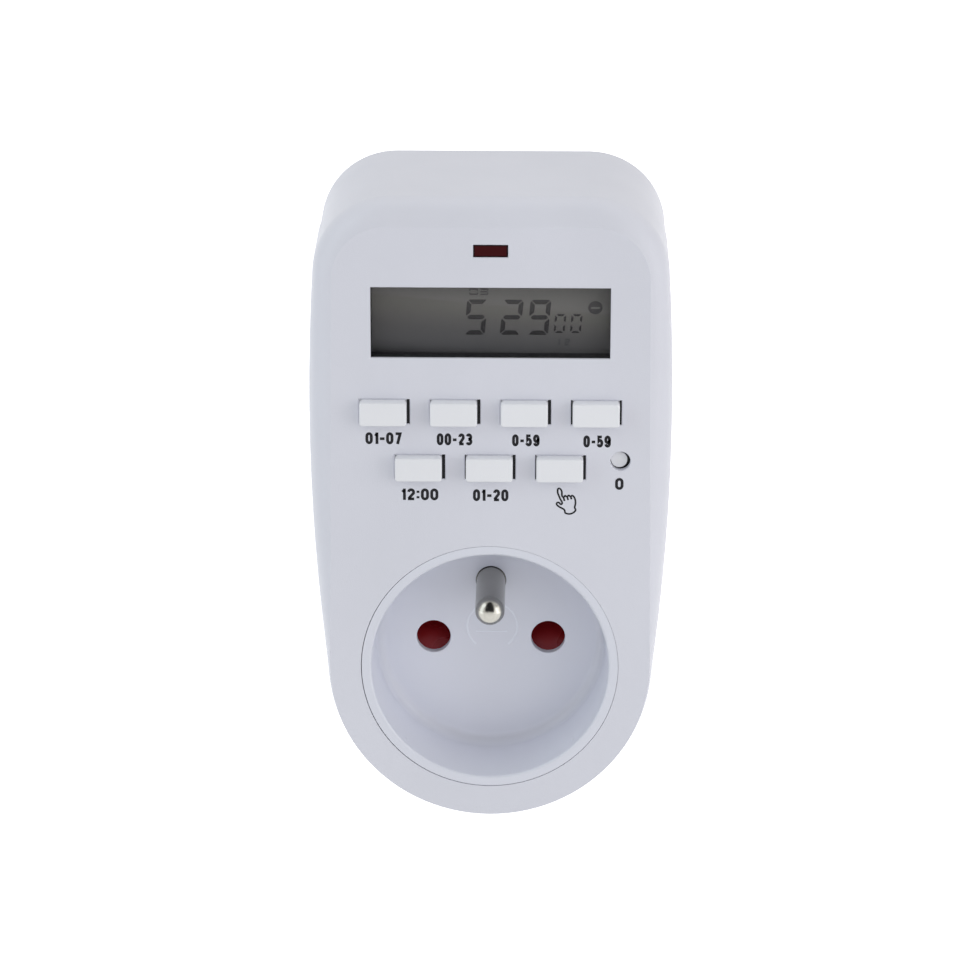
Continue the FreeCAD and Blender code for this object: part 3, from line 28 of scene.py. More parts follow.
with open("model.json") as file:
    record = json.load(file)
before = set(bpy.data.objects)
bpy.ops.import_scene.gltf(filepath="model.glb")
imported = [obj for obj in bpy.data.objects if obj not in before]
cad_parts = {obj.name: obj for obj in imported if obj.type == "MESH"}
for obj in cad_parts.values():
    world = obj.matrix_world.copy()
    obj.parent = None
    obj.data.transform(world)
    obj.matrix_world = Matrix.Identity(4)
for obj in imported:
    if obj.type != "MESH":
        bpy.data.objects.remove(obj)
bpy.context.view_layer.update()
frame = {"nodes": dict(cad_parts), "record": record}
NODES = frame["nodes"]
scene = bpy.context.scene
scene.view_settings.view_transform = "Standard"
MM = 0.001
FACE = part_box("front_cover")[0].y
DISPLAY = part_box("lcd_panel")[0].y
# The outlet's floor lies this deep behind the front face.
OUTLET_DEPTH = 13.75 * MM
OUTLET_FLOOR = FACE + OUTLET_DEPTH
# Printing and display figures are raised by this film's thickness.
FILM = 0.012 * MM


# Camera, light and background.

def linear(value):
    """A channel of a colour as a screen shows it, turned into light."""
    return value / 12.92 if value <= 0.04045 else ((value + 0.055) / 1.055) ** 2.4


def shade(red, green, blue):
    """A colour written in screen steps from 0 to 255."""
    return (linear(red / 255), linear(green / 255), linear(blue / 255), 1.0)


def add_camera():
    """The photograph's view: above the front face's normal and a little to its right."""
    elevation, azimuth, roll = math.radians(19.25), math.radians(0.79), math.radians(0.086)
    distance = 0.7
    target = Vector((-0.828 * MM, FACE, 31.37 * MM))
    data = bpy.data.cameras.new("camera")
    data.sensor_fit = "HORIZONTAL"
    data.sensor_width = 36.0
    data.lens = 161.69
    camera = bpy.data.objects.new("camera", data)
    scene.collection.objects.link(camera)
    away = Vector((math.sin(azimuth) * math.cos(elevation), -math.cos(azimuth) * math.cos(elevation),
                   math.sin(elevation)))
    camera.location = target + distance * away
    facing = Euler((math.pi / 2 - elevation, 0, azimuth)).to_matrix()
    camera.rotation_euler = (facing @ Matrix.Rotation(roll, 3, "Z")).to_euler()
    scene.camera = camera


# Each lamp's name, place, size, power and colour. All of them look at the middle of the housing.
LAMP_AIM = (0, -0.03, 0.03)
COOL, NEUTRAL = (0.86, 0.96, 1.0), (1, 1, 1)
LAMPS = (
    ("left_softbox", (-0.90, -0.42, 0.12), (0.5, 0.8), 1.4, COOL),
    ("left_top_softbox", (-0.70, -0.30, 0.70), (0.5, 0.5), 1.1, COOL),
    ("right_softbox", (0.70, -0.70, 0.25), (0.6, 0.8), 1.4, NEUTRAL),
    ("right_edge_softbox", (0.90, -0.42, 0.12), (0.5, 0.8), 1.8, NEUTRAL),
    ("back_top_softbox", (0, 0.45, 0.90), (1.0, 0.5), 0.6, NEUTRAL),
    ("front_top_softbox", (0, -0.70, 0.70), (1.0, 0.4), 0.5, NEUTRAL),
)


def add_lamp(name, place, size, power, colour):
    data = bpy.data.lights.new(name, "AREA")
    data.shape = "RECTANGLE"
    data.size, data.size_y = size
    data.energy = power
    data.color = colour
    lamp = bpy.data.objects.new(name, data)
    scene.collection.objects.link(lamp)
    lamp.location = place
    lamp.rotation_euler = (Vector(LAMP_AIM) - Vector(place)).to_track_quat("-Z", "Y").to_euler()


def seen_rays(tree):
    """1 where a ray comes from the camera, a mirror or a window, so that those see a white room."""
    path = tree.nodes.new("ShaderNodeLightPath")
    total = path.outputs["Is Camera Ray"]
    for name in ("Is Glossy Ray", "Is Transmission Ray"):
        add = tree.nodes.new("ShaderNodeMath")
        add.operation = "MAXIMUM"
        tree.links.new(total, add.inputs[0])
        tree.links.new(path.outputs[name], add.inputs[1])
        total = add.outputs[0]
    return total


def flat_card(name, corners):
    mesh = bpy.data.meshes.new(name)
    mesh.from_pydata(corners, [], [tuple(range(len(corners)))])
    card = bpy.data.objects.new(name, mesh)
    scene.collection.objects.link(card)
    return card


def add_floor():
    """A pale floor that keeps shadows and looks white to the camera and in reflections."""
    reach, level = 4.0, -0.25
    floor = flat_card("floor", [(-reach, -reach, level), (reach, -reach, level), (reach, reach, level),
                                (-reach, reach, level)])
    material = bpy.data.materials.new("floor")
    material.use_nodes = True
    tree = material.node_tree
    tree.nodes.clear()
    matte = tree.nodes.new("ShaderNodeBsdfDiffuse")
    matte.inputs["Color"].default_value = (0.74, 0.74, 0.75, 1)
    glow = tree.nodes.new("ShaderNodeEmission")
    glow.inputs["Strength"].default_value = 1.0
    none = tree.nodes.new("ShaderNodeEmission")
    none.inputs["Strength"].default_value = 0.0
    pick = tree.nodes.new("ShaderNodeMixShader")
    both = tree.nodes.new("ShaderNodeAddShader")
    out = tree.nodes.new("ShaderNodeOutputMaterial")
    tree.links.new(seen_rays(tree), pick.inputs["Fac"])
    tree.links.new(none.outputs[0], pick.inputs[1])
    tree.links.new(glow.outputs[0], pick.inputs[2])
    tree.links.new(matte.outputs[0], both.inputs[0])
    tree.links.new(pick.outputs[0], both.inputs[1])
    tree.links.new(both.outputs[0], out.inputs["Surface"])
    floor.data.materials.append(material)


def add_dark_card():
    """A dark card above the camera that only reflections see. It gives the earth pin's tip its dark spot."""
    middle, rise = Vector((0, -0.284, 0.27)), math.radians(48)
    half_wide, half_tall = 0.31, 0.32
    right, up = Vector((half_wide, 0, 0)), half_tall * Vector((0, math.sin(rise), math.cos(rise)))
    outline = ((-1.0, -1.0), (1.0, -1.0), (0.8, -0.3), (0.45, 0.6), (0.0, 1.0), (-0.45, 0.6), (-0.8, -0.3))
    card = flat_card("dark_card", [middle + right * across + up * along for across, along in outline])
    card.data.materials.append(moulded("dark_card", shade(40, 40, 42), 0.9, gloss=0.0))
    card.visible_camera = False
    card.visible_diffuse = False
    card.visible_shadow = False
    card.visible_transmission = False


def add_room():
    """An even, dim room that looks white to the camera and in reflections, with its floor, card and lamps."""
    world = bpy.data.worlds.new("room")
    scene.world = world
    world.use_nodes = True
    tree = world.node_tree
    tree.nodes.clear()
    light = tree.nodes.new("ShaderNodeBackground")
    light.inputs["Color"].default_value = (1, 1, 1, 1)
    light.inputs["Strength"].default_value = 0.61
    white = tree.nodes.new("ShaderNodeBackground")
    white.inputs["Color"].default_value = (1, 1, 1, 1)
    white.inputs["Strength"].default_value = 1.0
    mix = tree.nodes.new("ShaderNodeMixShader")
    out = tree.nodes.new("ShaderNodeOutputWorld")
    tree.links.new(seen_rays(tree), mix.inputs["Fac"])
    tree.links.new(light.outputs[0], mix.inputs[1])
    tree.links.new(white.outputs[0], mix.inputs[2])
    tree.links.new(mix.outputs[0], out.inputs["Surface"])
    add_floor()
    add_dark_card()
    for lamp in LAMPS:
        add_lamp(*lamp)


# Materials.

def plain_material(name):
    material = bpy.data.materials.new(name)
    material.use_nodes = True
    tree = material.node_tree
    return material, tree, tree.nodes["Principled BSDF"]


def noise(tree, scale, detail, stretch=None):
    """Noise in the object's own metres, about one lump per 1/scale."""
    place = tree.nodes.new("ShaderNodeTexCoord")
    out = place.outputs["Object"]
    if stretch:
        mapping = tree.nodes.new("ShaderNodeMapping")
        mapping.inputs["Scale"].default_value = stretch
        tree.links.new(out, mapping.inputs["Vector"])
        out = mapping.outputs["Vector"]
    texture = tree.nodes.new("ShaderNodeTexNoise")
    texture.inputs["Scale"].default_value = scale
    texture.inputs["Detail"].default_value = detail
    tree.links.new(out, texture.inputs["Vector"])
    return texture.outputs["Fac"]


def distances(tree, axis, low, high):
    """0 where the axis reads low and 1 where it reads high, in metres."""
    place = tree.nodes.new("ShaderNodeTexCoord")
    parts = tree.nodes.new("ShaderNodeSeparateXYZ")
    tree.links.new(place.outputs["Object"], parts.inputs["Vector"])
    span = tree.nodes.new("ShaderNodeMapRange")
    span.inputs["From Min"].default_value = low
    span.inputs["From Max"].default_value = high
    tree.links.new(parts.outputs[axis], span.inputs["Value"])
    return span.outputs["Result"]


def ramp(tree, value, steps):
    """Runs through steps, (place, colour), as value goes from 0 to 1. A number stands for a grey."""
    node = tree.nodes.new("ShaderNodeValToRGB")
    stops = node.color_ramp.elements
    while len(stops) < len(steps):
        stops.new(0.5)
    for stop, (place, colour) in zip(stops, steps):
        stop.position = place
        stop.color = colour if isinstance(colour, tuple) else (colour, colour, colour, 1.0)
    tree.links.new(value, node.inputs["Fac"])
    return node.outputs["Color"]


def bump(tree, shader, height, distance):
    node = tree.nodes.new("ShaderNodeBump")
    node.inputs["Distance"].default_value = distance
    tree.links.new(height, node.inputs["Height"])
    tree.links.new(node.outputs["Normal"], shader.inputs["Normal"])


def tinted(colour, factor):
    return tuple(min(1.0, c * factor) for c in colour[:3]) + (1.0,)


def moulded(name, colour, roughness, grain=0.02 * MM, spread=0.03, sway=0.05, gloss=0.5, painted_shade_depths=()):
    """Injection-moulded plastic: faint flow marks in its colour and gloss, and a fine spark-eroded grain.

    The painted shade by depth is given as (place, share of the colour) from the front face, 0, to the outlet's
    floor, 1.
    """
    material, tree, shader = plain_material(name)
    flow = noise(tree, scale=45.0, detail=4.0, stretch=(1.0, 1.0, 0.45))
    plastic = ramp(tree, flow, ((0.2, tinted(colour, 1 - spread)), (0.8, tinted(colour, 1 + spread))))
    if painted_shade_depths:
        product = tree.nodes.new("ShaderNodeVectorMath")
        product.operation = "MULTIPLY"
        tree.links.new(plastic, product.inputs[0])
        tree.links.new(ramp(tree, distances(tree, "Y", FACE, OUTLET_FLOOR), painted_shade_depths), product.inputs[1])
        plastic = product.outputs["Vector"]
    tree.links.new(plastic, shader.inputs["Base Color"])
    cloud = noise(tree, scale=140.0, detail=2.0)
    gloss_marks = ramp(tree, cloud, ((0.1, roughness - sway), (0.9, roughness + sway)))
    tree.links.new(gloss_marks, shader.inputs["Roughness"])
    shader.inputs["IOR"].default_value = 1.5
    shader.inputs["Specular IOR Level"].default_value = gloss
    bump(tree, shader, noise(tree, scale=5200.0, detail=2.0), grain)
    return material


def clear(name, colour, roughness, opacity, gloss):
    """A tinted clear plastic that lets light and shadows through."""
    material = moulded(name, colour, roughness, grain=0.0, sway=0.02, gloss=gloss)
    material.node_tree.nodes["Principled BSDF"].inputs["Alpha"].default_value = opacity
    return material


def painted_shade_film(name, low, high, steps, roughness, streaks=0.0, lean=0.0):
    """A matte film with painted light and shade: its colour runs through steps, (share, colour), from the
    height low up to high.

    Lying streaks sway the share, and the lean raises it evenly from the film's left end to its right end,
    painted light against the shade at that end.
    """
    half_length = 19.0 * MM
    material, tree, shader = plain_material(name)
    share = distances(tree, "Z", low, high)
    across = distances(tree, "X", -half_length, half_length)
    wave = noise(tree, scale=190.0, detail=3.0, stretch=(0.12, 1.0, 1.0))
    for value, factor in ((wave, streaks), (across, lean)):
        raised = tree.nodes.new("ShaderNodeMath")
        raised.operation = "MULTIPLY_ADD"
        tree.links.new(value, raised.inputs[0])
        raised.inputs[1].default_value = factor
        tree.links.new(share, raised.inputs[2])
        share = raised.outputs[0]
    tree.links.new(ramp(tree, share, steps), shader.inputs["Base Color"])
    cloud = noise(tree, scale=700.0, detail=2.0)
    gloss_marks = ramp(tree, cloud, ((0.3, roughness - 0.04), (0.7, roughness + 0.04)))
    tree.links.new(gloss_marks, shader.inputs["Roughness"])
    shader.inputs["Specular IOR Level"].default_value = 0.2
    return material


def metal(name, colour, roughness):
    """Plated or drawn metal with fine turned or rolled marks."""
    material, tree, shader = plain_material(name)
    shader.inputs["Metallic"].default_value = 1.0
    lines = noise(tree, scale=900.0, detail=4.0, stretch=(1.0, 6.0, 1.0))
    tone = ramp(tree, lines, ((0.3, tinted(colour, 0.92)), (0.7, tinted(colour, 1.05))))
    gloss_marks = ramp(tree, lines, ((0.25, roughness - 0.06), (0.75, roughness + 0.08)))
    tree.links.new(tone, shader.inputs["Base Color"])
    tree.links.new(gloss_marks, shader.inputs["Roughness"])
    bump(tree, shader, lines, 0.006 * MM)
    return material


# Painted shade on the outlet's plastic: its colour is darkened at the mouth and in the rounding round its
# floor.
OUTLET_PAINTED_SHADE = (
    (0.0, 0.93), (0.7, 1.0), (0.85, 0.99), (0.92, 0.945), (0.965, 0.905), (0.985, 0.90), (0.996, 0.95),
    (1.0, 1.0),
)
# The heights between which the display shows through its window, and those between which its figures stand.
WINDOW_LOW, WINDOW_HIGH = 51.6 * MM, 63.4 * MM
FIGURES_LOW, FIGURES_HIGH = 55.5 * MM, 61.5 * MM
# Painted light and shade on the display and its figures: lighter at the top, darker towards the bottom.
DISPLAY_SHADE_STEPS = (
    (0.17, shade(72, 72, 75)), (0.23, shade(104, 104, 108)), (0.28, shade(114, 114, 117)),
    (0.36, shade(122, 122, 125)), (0.55, shade(125, 124, 125)), (0.70, shade(136, 134, 133)),
    (0.84, shade(148, 146, 142)), (0.955, shade(158, 155, 151)), (1.0, shade(167, 165, 162)),
)
SEGMENT_SHADE_STEPS = ((0.0, shade(52, 50, 52)), (0.45, shade(74, 72, 74)), (1.0, shade(102, 100, 100)))
MARK_SHADE_STEPS = ((0.0, shade(76, 76, 79)), (0.45, shade(96, 95, 97)), (1.0, shade(124, 122, 122)))

MATERIALS = {
    "housing": moulded("housing_plastic", shade(216, 217, 226), 0.42),
    "outlet": moulded("outlet_plastic", shade(224, 226, 236), 0.34, grain=0.004 * MM, spread=0.012,
                      sway=0.015, painted_shade_depths=OUTLET_PAINTED_SHADE),
    "carrier": moulded("carrier_plastic", shade(222, 220, 210), 0.45),
    "key": moulded("key_plastic", shade(232, 233, 237), 0.38),
    "shutter": moulded("shutter_plastic", shade(150, 22, 28), 0.28, grain=0.006 * MM),
    "window": clear("window_plastic", shade(30, 30, 32), 0.12, opacity=0.2, gloss=0.15),
    "lens": moulded("lens_plastic", shade(60, 8, 12), 0.22, grain=0.003 * MM, gloss=0.06),
    "lamp": moulded("lamp_plastic", shade(190, 40, 30), 0.20),
    "display": painted_shade_film("display_glass", WINDOW_LOW, WINDOW_HIGH, DISPLAY_SHADE_STEPS, 0.35,
                                streaks=0.12, lean=0.25),
    "elastomer": moulded("elastomer_rubber", shade(225, 170, 176), 0.60),
    "black_plastic": moulded("black_plastic", shade(38, 38, 40), 0.45, spread=0.10),
    "plunger": moulded("plunger_plastic", shade(214, 214, 210), 0.40),
    "nickel": metal("nickel_plating", (0.405, 0.395, 0.36, 1), 0.20),
    "brass": metal("bare_brass", (0.80, 0.62, 0.30, 1), 0.28),
    "steel": metal("zinc_plated_steel", (0.60, 0.60, 0.61, 1), 0.34),
    "board": moulded("board_laminate", shade(36, 98, 58), 0.35, spread=0.12),
    "film": moulded("film_case", shade(214, 186, 70), 0.32),
    "can": moulded("can_sleeve", shade(34, 42, 74), 0.30, spread=0.08),
    "varistor": moulded("varistor_coat", shade(58, 92, 160), 0.38, spread=0.08),
}
FLOOR_MARK = moulded("floor_mark_plastic", shade(234, 237, 247), 0.34, grain=0.004 * MM, spread=0.012)
# Print ink; the same dark material paints the shade in the key gaps and the reset hole.
PRINT_INK_AND_SHADE = moulded("label_ink_and_shade", shade(20, 20, 25), 0.45, spread=0.10, gloss=0.2)
# A dark material that lines the window's edge and paints the shadow ring at the earth pin's root.
DARK_LINING_AND_SHADOW = moulded("dark_lining_and_shadow", shade(38, 38, 41), 0.30, gloss=0.2)
LENS_EDGE = moulded("lens_dark_border", shade(30, 8, 12), 0.30, gloss=0.06)
SEGMENT = painted_shade_film("display_segment", FIGURES_LOW, FIGURES_HIGH, SEGMENT_SHADE_STEPS, 0.40)
MARK = painted_shade_film("display_mark", FIGURES_LOW, FIGURES_HIGH, MARK_SHADE_STEPS, 0.40)


def dress_frame():
    """Every carried-over node gets its slot's material and smooth faces with crisp edges."""
    for part in frame["record"]["subparts"]:
        item = NODES[part["node"]]
        item.data.materials.clear()
        item.data.materials.append(MATERIALS[part["material_slot"]])
        item.data.shade_smooth()
        item.data.set_sharp_from_angle(angle=math.radians(30))


# Films, rings and lips, all added pieces of the housing.

def add_mesh(name, mesh, material):
    """A finished mesh as a piece that rides on the housing and takes the given material."""
    item = bpy.data.objects.new(name, mesh)
    scene.collection.objects.link(item)
    mesh.materials.clear()
    mesh.materials.append(material)
    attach(item, "housing")


def add_work(name, work, material):
    """The same for a mesh that is still being worked on."""
    bmesh.ops.recalc_face_normals(work, faces=work.faces)
    mesh = bpy.data.meshes.new(name)
    work.to_mesh(mesh)
    work.free()
    add_mesh(name, mesh, material)


def on_ellipse(middle, radii, angles):
    """The points of an ellipse at some angles."""
    return [(middle[0] + radii[0] * math.cos(angle), middle[1] + radii[1] * math.sin(angle))
            for angle in angles]


def round_ellipse(middle, radii, steps):
    """Points evenly round a whole ellipse."""
    return on_ellipse(middle, radii, [math.tau * step / steps for step in range(steps)])


def outline_film(name, loops, level, material):
    """Flat shapes facing the front, each a closed loop of (x, z) in mm, raised by a film's thickness."""
    work = bmesh.new()
    for loop in loops:
        back = [work.verts.new((x * MM, level, z * MM)) for x, z in loop]
        front = [work.verts.new((x * MM, level - FILM, z * MM)) for x, z in loop]
        work.faces.new(front)
        work.faces.new(list(reversed(back)))
        for index in range(len(loop)):
            after = (index + 1) % len(loop)
            work.faces.new((front[index], back[index], back[after], front[after]))
    add_work(name, work, material)


def ring(name, inner, outer, levels, material, slot):
    """A ring between two loops of (x, z) in mm with as many points each, and between two levels along Y."""
    work = bmesh.new()
    front, back = levels
    loops = [[work.verts.new((x * MM, level, z * MM)) for x, z in loop]
             for loop, level in ((inner, front), (inner, back), (outer, back), (outer, front))]
    for index, loop in enumerate(loops):
        after = loops[(index + 1) % len(loops)]
        for turn in range(len(loop)):
            onward = (turn + 1) % len(loop)
            work.faces.new((loop[turn], loop[onward], after[onward], after[turn]))
    add_work(name, work, material)


def rim(name, middle, half_wide, half_tall, wide, levels, material):
    """A rectangular rim of one width round an opening; in mm but for the levels along Y."""
    corners = ((-1, -1), (1, -1), (1, 1), (-1, 1))
    loops = [[(middle[0] + across * (half_wide + out), middle[1] + up * (half_tall + out))
              for across, up in corners] for out in (0.0, wide)]
    ring(name, *loops, levels, material, "black_plastic")


def washer(name, middle, inner, outer, levels, material, slot):
    """A flat round ring between two radii; in mm but for the levels along Y."""
    steps = 48
    loops = [round_ellipse(middle, (radius, radius), steps) for radius in (inner, outer)]
    ring(name, *loops, levels, material, slot)


def box_lip(name, left, right, low, high, levels, material, slot):
    """A box-shaped lip; sides in mm, the two levels along Y in metres."""
    work = bmesh.new()
    bmesh.ops.create_cube(work, size=1.0)
    front, back = levels
    size = ((right - left) * MM, back - front, (high - low) * MM)
    middle = ((left + right) / 2 * MM, (front + back) / 2, (low + high) / 2 * MM)
    bmesh.ops.transform(work, matrix=Matrix.LocRotScale(Vector(middle), None, Vector(size)), verts=work.verts)
    add_work(name, work, material)


# Printed figures, drawn as strokes of one width.

def bowl(middle, radii, start, end):
    """Points on an ellipse from one angle to another, in degrees, a point about every 15 degrees."""
    count = max(2, round(abs(end - start) / 15))
    angles = [math.radians(start + (end - start) * step / count) for step in range(count + 1)]
    return on_ellipse(middle, radii, angles)


# Each figure's width as a share of a zero's, and its strokes. A stroke has points from 0 to 1 across and up,
# and says whether it is closed.
FIGURES = {
    "0": (1.0, ((bowl((0.5, 0.70), (0.5, 0.30), 0, 180) + bowl((0.5, 0.30), (0.5, 0.30), 180, 360), True),)),
    "1": (0.60, ((((1.0, -0.12), (1.0, 1.12)), False), (((0.0, 0.74), (1.0, 0.98)), False))),
    "2": (0.98, ((bowl((0.5, 0.72), (0.5, 0.28), 172, -22) + [(0.04, 0.06)], False),
                 (((-0.14, 0.0), (1.1, 0.0)), False))),
    "3": (0.98, ((bowl((0.46, 0.74), (0.50, 0.26), 160, -80) + [(0.30, 0.50)], False),
                 ([(0.30, 0.50)] + bowl((0.46, 0.27), (0.54, 0.27), 80, -160), False))),
    "5": (0.98, (([(1.0, 1.0), (0.12, 1.0), (0.04, 0.50)] + bowl((0.46, 0.32), (0.54, 0.32), 125, -160),
                  False),)),
    "7": (0.95, ((((-0.12, 1.0), (1.0, 1.0), (0.34, -0.12)), False),)),
    "9": (1.0, ((bowl((0.5, 0.69), (0.5, 0.31), 0, 345), True),
                ([(1.0, 0.72), (1.0, 0.30)] + bowl((0.5, 0.28), (0.5, 0.28), -15, -165), False))),
    "-": (0.72, ((((-0.45, 0.45), (1.45, 0.45)), False),)),
    ":": (0.12, ((((0.5, 0.66), (0.5, 0.90)), False), (((0.5, 0.06), (0.5, 0.30)), False))),
}
# The figures' height, their strokes' width, the space between them and a zero's width, in mm.
PRINT_HEIGHT, PRINT_STROKE, PRINT_SPACE, ZERO_WIDTH = 2.02, 0.46, 0.19, 1.16
# Each label's name, its figures, its centre (x, z) and the width it is drawn out to, in mm.
LABELS = (
    ("print_week", "01-07", (-17.09, 39.28), 5.8),
    ("print_hour", "00-23", (-5.71, 39.17), 5.7),
    ("print_minute", "0-59", (5.70, 39.06), 4.4),
    ("print_second", "0-59", (17.11, 38.94), 4.4),
    ("print_clock", "12:00", (-11.33, 29.80), 6.0),
    ("print_program", "01-20", (0.09, 29.72), 5.7),
    ("print_reset", "0", (20.74, 31.78), 1.35),
)


def offsets(points, half, closed):
    """The points to the left and right of a stroke's middle line, mitred at its corners up to a limit."""
    least_cosine = 0.45
    count = len(points)
    sides = []
    for index, point in enumerate(points):
        normals = []
        for start in (index - 1, index):
            if closed or 0 <= start < count - 1:
                a, b = points[start % count], points[(start + 1) % count]
                length = math.hypot(b[0] - a[0], b[1] - a[1])
                normals.append(Vector(((a[1] - b[1]) / length, (b[0] - a[0]) / length)))
        middle = sum(normals, Vector((0, 0))).normalized()
        reach = half / max(least_cosine, middle.dot(normals[0]))
        sides.append((Vector(point) + middle * reach, Vector(point) - middle * reach))
    return sides


def stroke_film(name, strokes, width):
    """Printed strokes of one width on the front face; each is (points in mm, closed)."""
    same_point = 1e-6
    work = bmesh.new()
    for points, closed in strokes:
        if closed and math.dist(points[0], points[-1]) < same_point:
            points = points[:-1]
        stations = []
        for left, right in offsets(points, width / 2, closed):
            corners = ((left, FACE - FILM), (right, FACE - FILM), (right, FACE), (left, FACE))
            stations.append([work.verts.new((point.x * MM, level, point.y * MM)) for point, level in corners])
        links = zip(stations, stations[1:] + stations[:1] if closed else stations[1:])
        for here, there in links:
            for corner in range(4):
                after = (corner + 1) % 4
                work.faces.new((here[corner], here[after], there[after], there[corner]))
        if not closed:
            work.faces.new(stations[0])
            work.faces.new(list(reversed(stations[-1])))
    add_work(name, work, PRINT_INK_AND_SHADE)


def printed_figures(name, figures, centre, width):
    """Printed figures on the front face, centred at (x, z) and drawn out to a width; in mm."""
    widths = [max(PRINT_STROKE, FIGURES[figure][0] * ZERO_WIDTH) for figure in figures]
    scale = width / (sum(widths) + PRINT_SPACE * (len(figures) - 1))
    inner_high = PRINT_HEIGHT - PRINT_STROKE
    foot = centre[1] - inner_high / 2
    strokes = []
    left = centre[0] - width / 2
    for figure, natural in zip(figures, widths):
        wide = natural * scale
        inner_left, inner_wide = left + PRINT_STROKE / 2, wide - PRINT_STROKE
        for points, closed in FIGURES[figure][1]:
            placed = [(inner_left + across * inner_wide, foot + up * inner_high) for across, up in points]
            strokes.append((placed, closed))
        left += wide + PRINT_SPACE * scale
    stroke_film(name, strokes, PRINT_STROKE)


# The display's figures.

def bar_shapes(width, height, stroke, gap):
    """The seven bars of a figure, lower left corner at 0, 0, with mitred ends a gap apart."""
    half = height / 2
    tip = stroke / 2

    def lying(z, up, down):
        left, right = gap, width - gap
        return [(left, z), (left + up, z + up), (right - up, z + up), (right, z), (right - down, z - down),
                (left + down, z - down)]

    def standing(x, low, top, out, into):
        return [(x, low), (x + into, low + into), (x + into, top - into), (x, top), (x - out, top - out),
                (x - out, low + out)]

    edge = 0.2 * stroke
    low_half = (gap, half - gap)
    top_half = (half + gap, height - gap)
    return {
        "top": lying(height - edge, edge, stroke - edge),
        "middle": lying(half, tip, tip),
        "bottom": lying(edge, stroke - edge, edge),
        "upper_left": standing(edge, *top_half, edge, stroke - edge),
        "lower_left": standing(edge, *low_half, edge, stroke - edge),
        "upper_right": standing(width - edge, *top_half, stroke - edge, edge),
        "lower_right": standing(width - edge, *low_half, stroke - edge, edge),
    }


# The bars that show in each figure.
LIT_BARS = {
    "0": ("top", "bottom", "upper_left", "lower_left", "upper_right", "lower_right"),
    "1": ("upper_right", "lower_right"),
    "2": ("top", "middle", "bottom", "lower_left", "upper_right"),
    "3": ("top", "middle", "bottom", "upper_right", "lower_right"),
    "5": ("top", "middle", "bottom", "upper_left", "lower_right"),
    "9": ("top", "middle", "bottom", "upper_left", "upper_right", "lower_right"),
}


def display_figure(name, figure, left, foot, width, height, stroke, gap, slant, material):
    """One figure of the display, its lower left corner at (left, foot), leaning to the right; in mm."""
    shapes = bar_shapes(width, height, stroke, gap)
    loops = [[(left + x + slant * (z - height / 2), foot + z) for x, z in shapes[bar]]
             for bar in LIT_BARS[figure]]
    outline_film(name, loops, DISPLAY, material)


def add_display_figures():
    """Hours and minutes, seconds, the small day and channel figures, and the running sign."""
    large = dict(foot=55.8, width=3.3, height=5.85, stroke=0.74, gap=0.25, slant=0.09, material=SEGMENT)
    medium = dict(foot=56.15, width=1.75, height=3.15, stroke=0.34, gap=0.25, slant=0.09, material=SEGMENT)
    day = dict(foot=62.4, width=1.35, height=1.1, stroke=0.24, gap=0.07, slant=0.0, material=MARK)
    channel = dict(foot=54.1, width=0.8, height=1.1, stroke=0.16, gap=0.05, slant=0.0, material=MARK)
    for name, figure, left, look in (
        ("hour_figure", "5", -4.0, large),
        ("minute_tens", "2", 1.7, large), ("minute_units", "9", 6.1, large),
        ("second_tens", "0", 10.15, medium), ("second_units", "0", 12.75, medium),
        ("day_tens", "0", -3.4, day), ("day_units", "3", -1.75, day),
        ("channel_tens", "1", 10.2, channel), ("channel_units", "2", 11.8, channel),
    ):
        display_figure(name, figure, left, **look)
    x, z = 16.65, 60.4
    disc = round_ellipse((x, z), (1.15, 1.1), 40)
    outline_film("running_disc", [disc], DISPLAY, MARK)
    half_long, low, high = 0.7, z - 0.21, z + 0.11
    bar = [(x - half_long, low), (x + half_long, low), (x + half_long, high), (x - half_long, high)]
    outline_film("running_bar", [bar], DISPLAY - FILM, MATERIALS["display"])


# Drawn lines: the hand sign and the mark on the outlet's floor.

def drawn_line(name, points, width, level, thick, material, closed=False, smooth=True):
    """A line of one width through points, (x, z) in mm, facing the front; the other sizes in metres."""
    data = bpy.data.curves.new(name, "CURVE")
    data.dimensions = "3D"
    data.bevel_depth = width / 2
    data.bevel_resolution = 3
    data.resolution_u = 6
    data.use_fill_caps = True
    line = data.splines.new("BEZIER")
    line.bezier_points.add(len(points) - 1)
    for knot, (x, z) in zip(line.bezier_points, points):
        knot.co = (x * MM, level, z * MM)
        knot.handle_left_type = knot.handle_right_type = "AUTO" if smooth else "VECTOR"
    line.use_cyclic_u = closed
    item = bpy.data.objects.new(name, data)
    scene.collection.objects.link(item)
    mesh = bpy.data.meshes.new_from_object(item.evaluated_get(bpy.context.evaluated_depsgraph_get()))
    bpy.data.objects.remove(item)
    for vertex in mesh.vertices:
        vertex.co.y = level + (vertex.co.y - level) * 2 * thick / width
    mesh.shade_smooth()
    add_mesh(name, mesh, material)


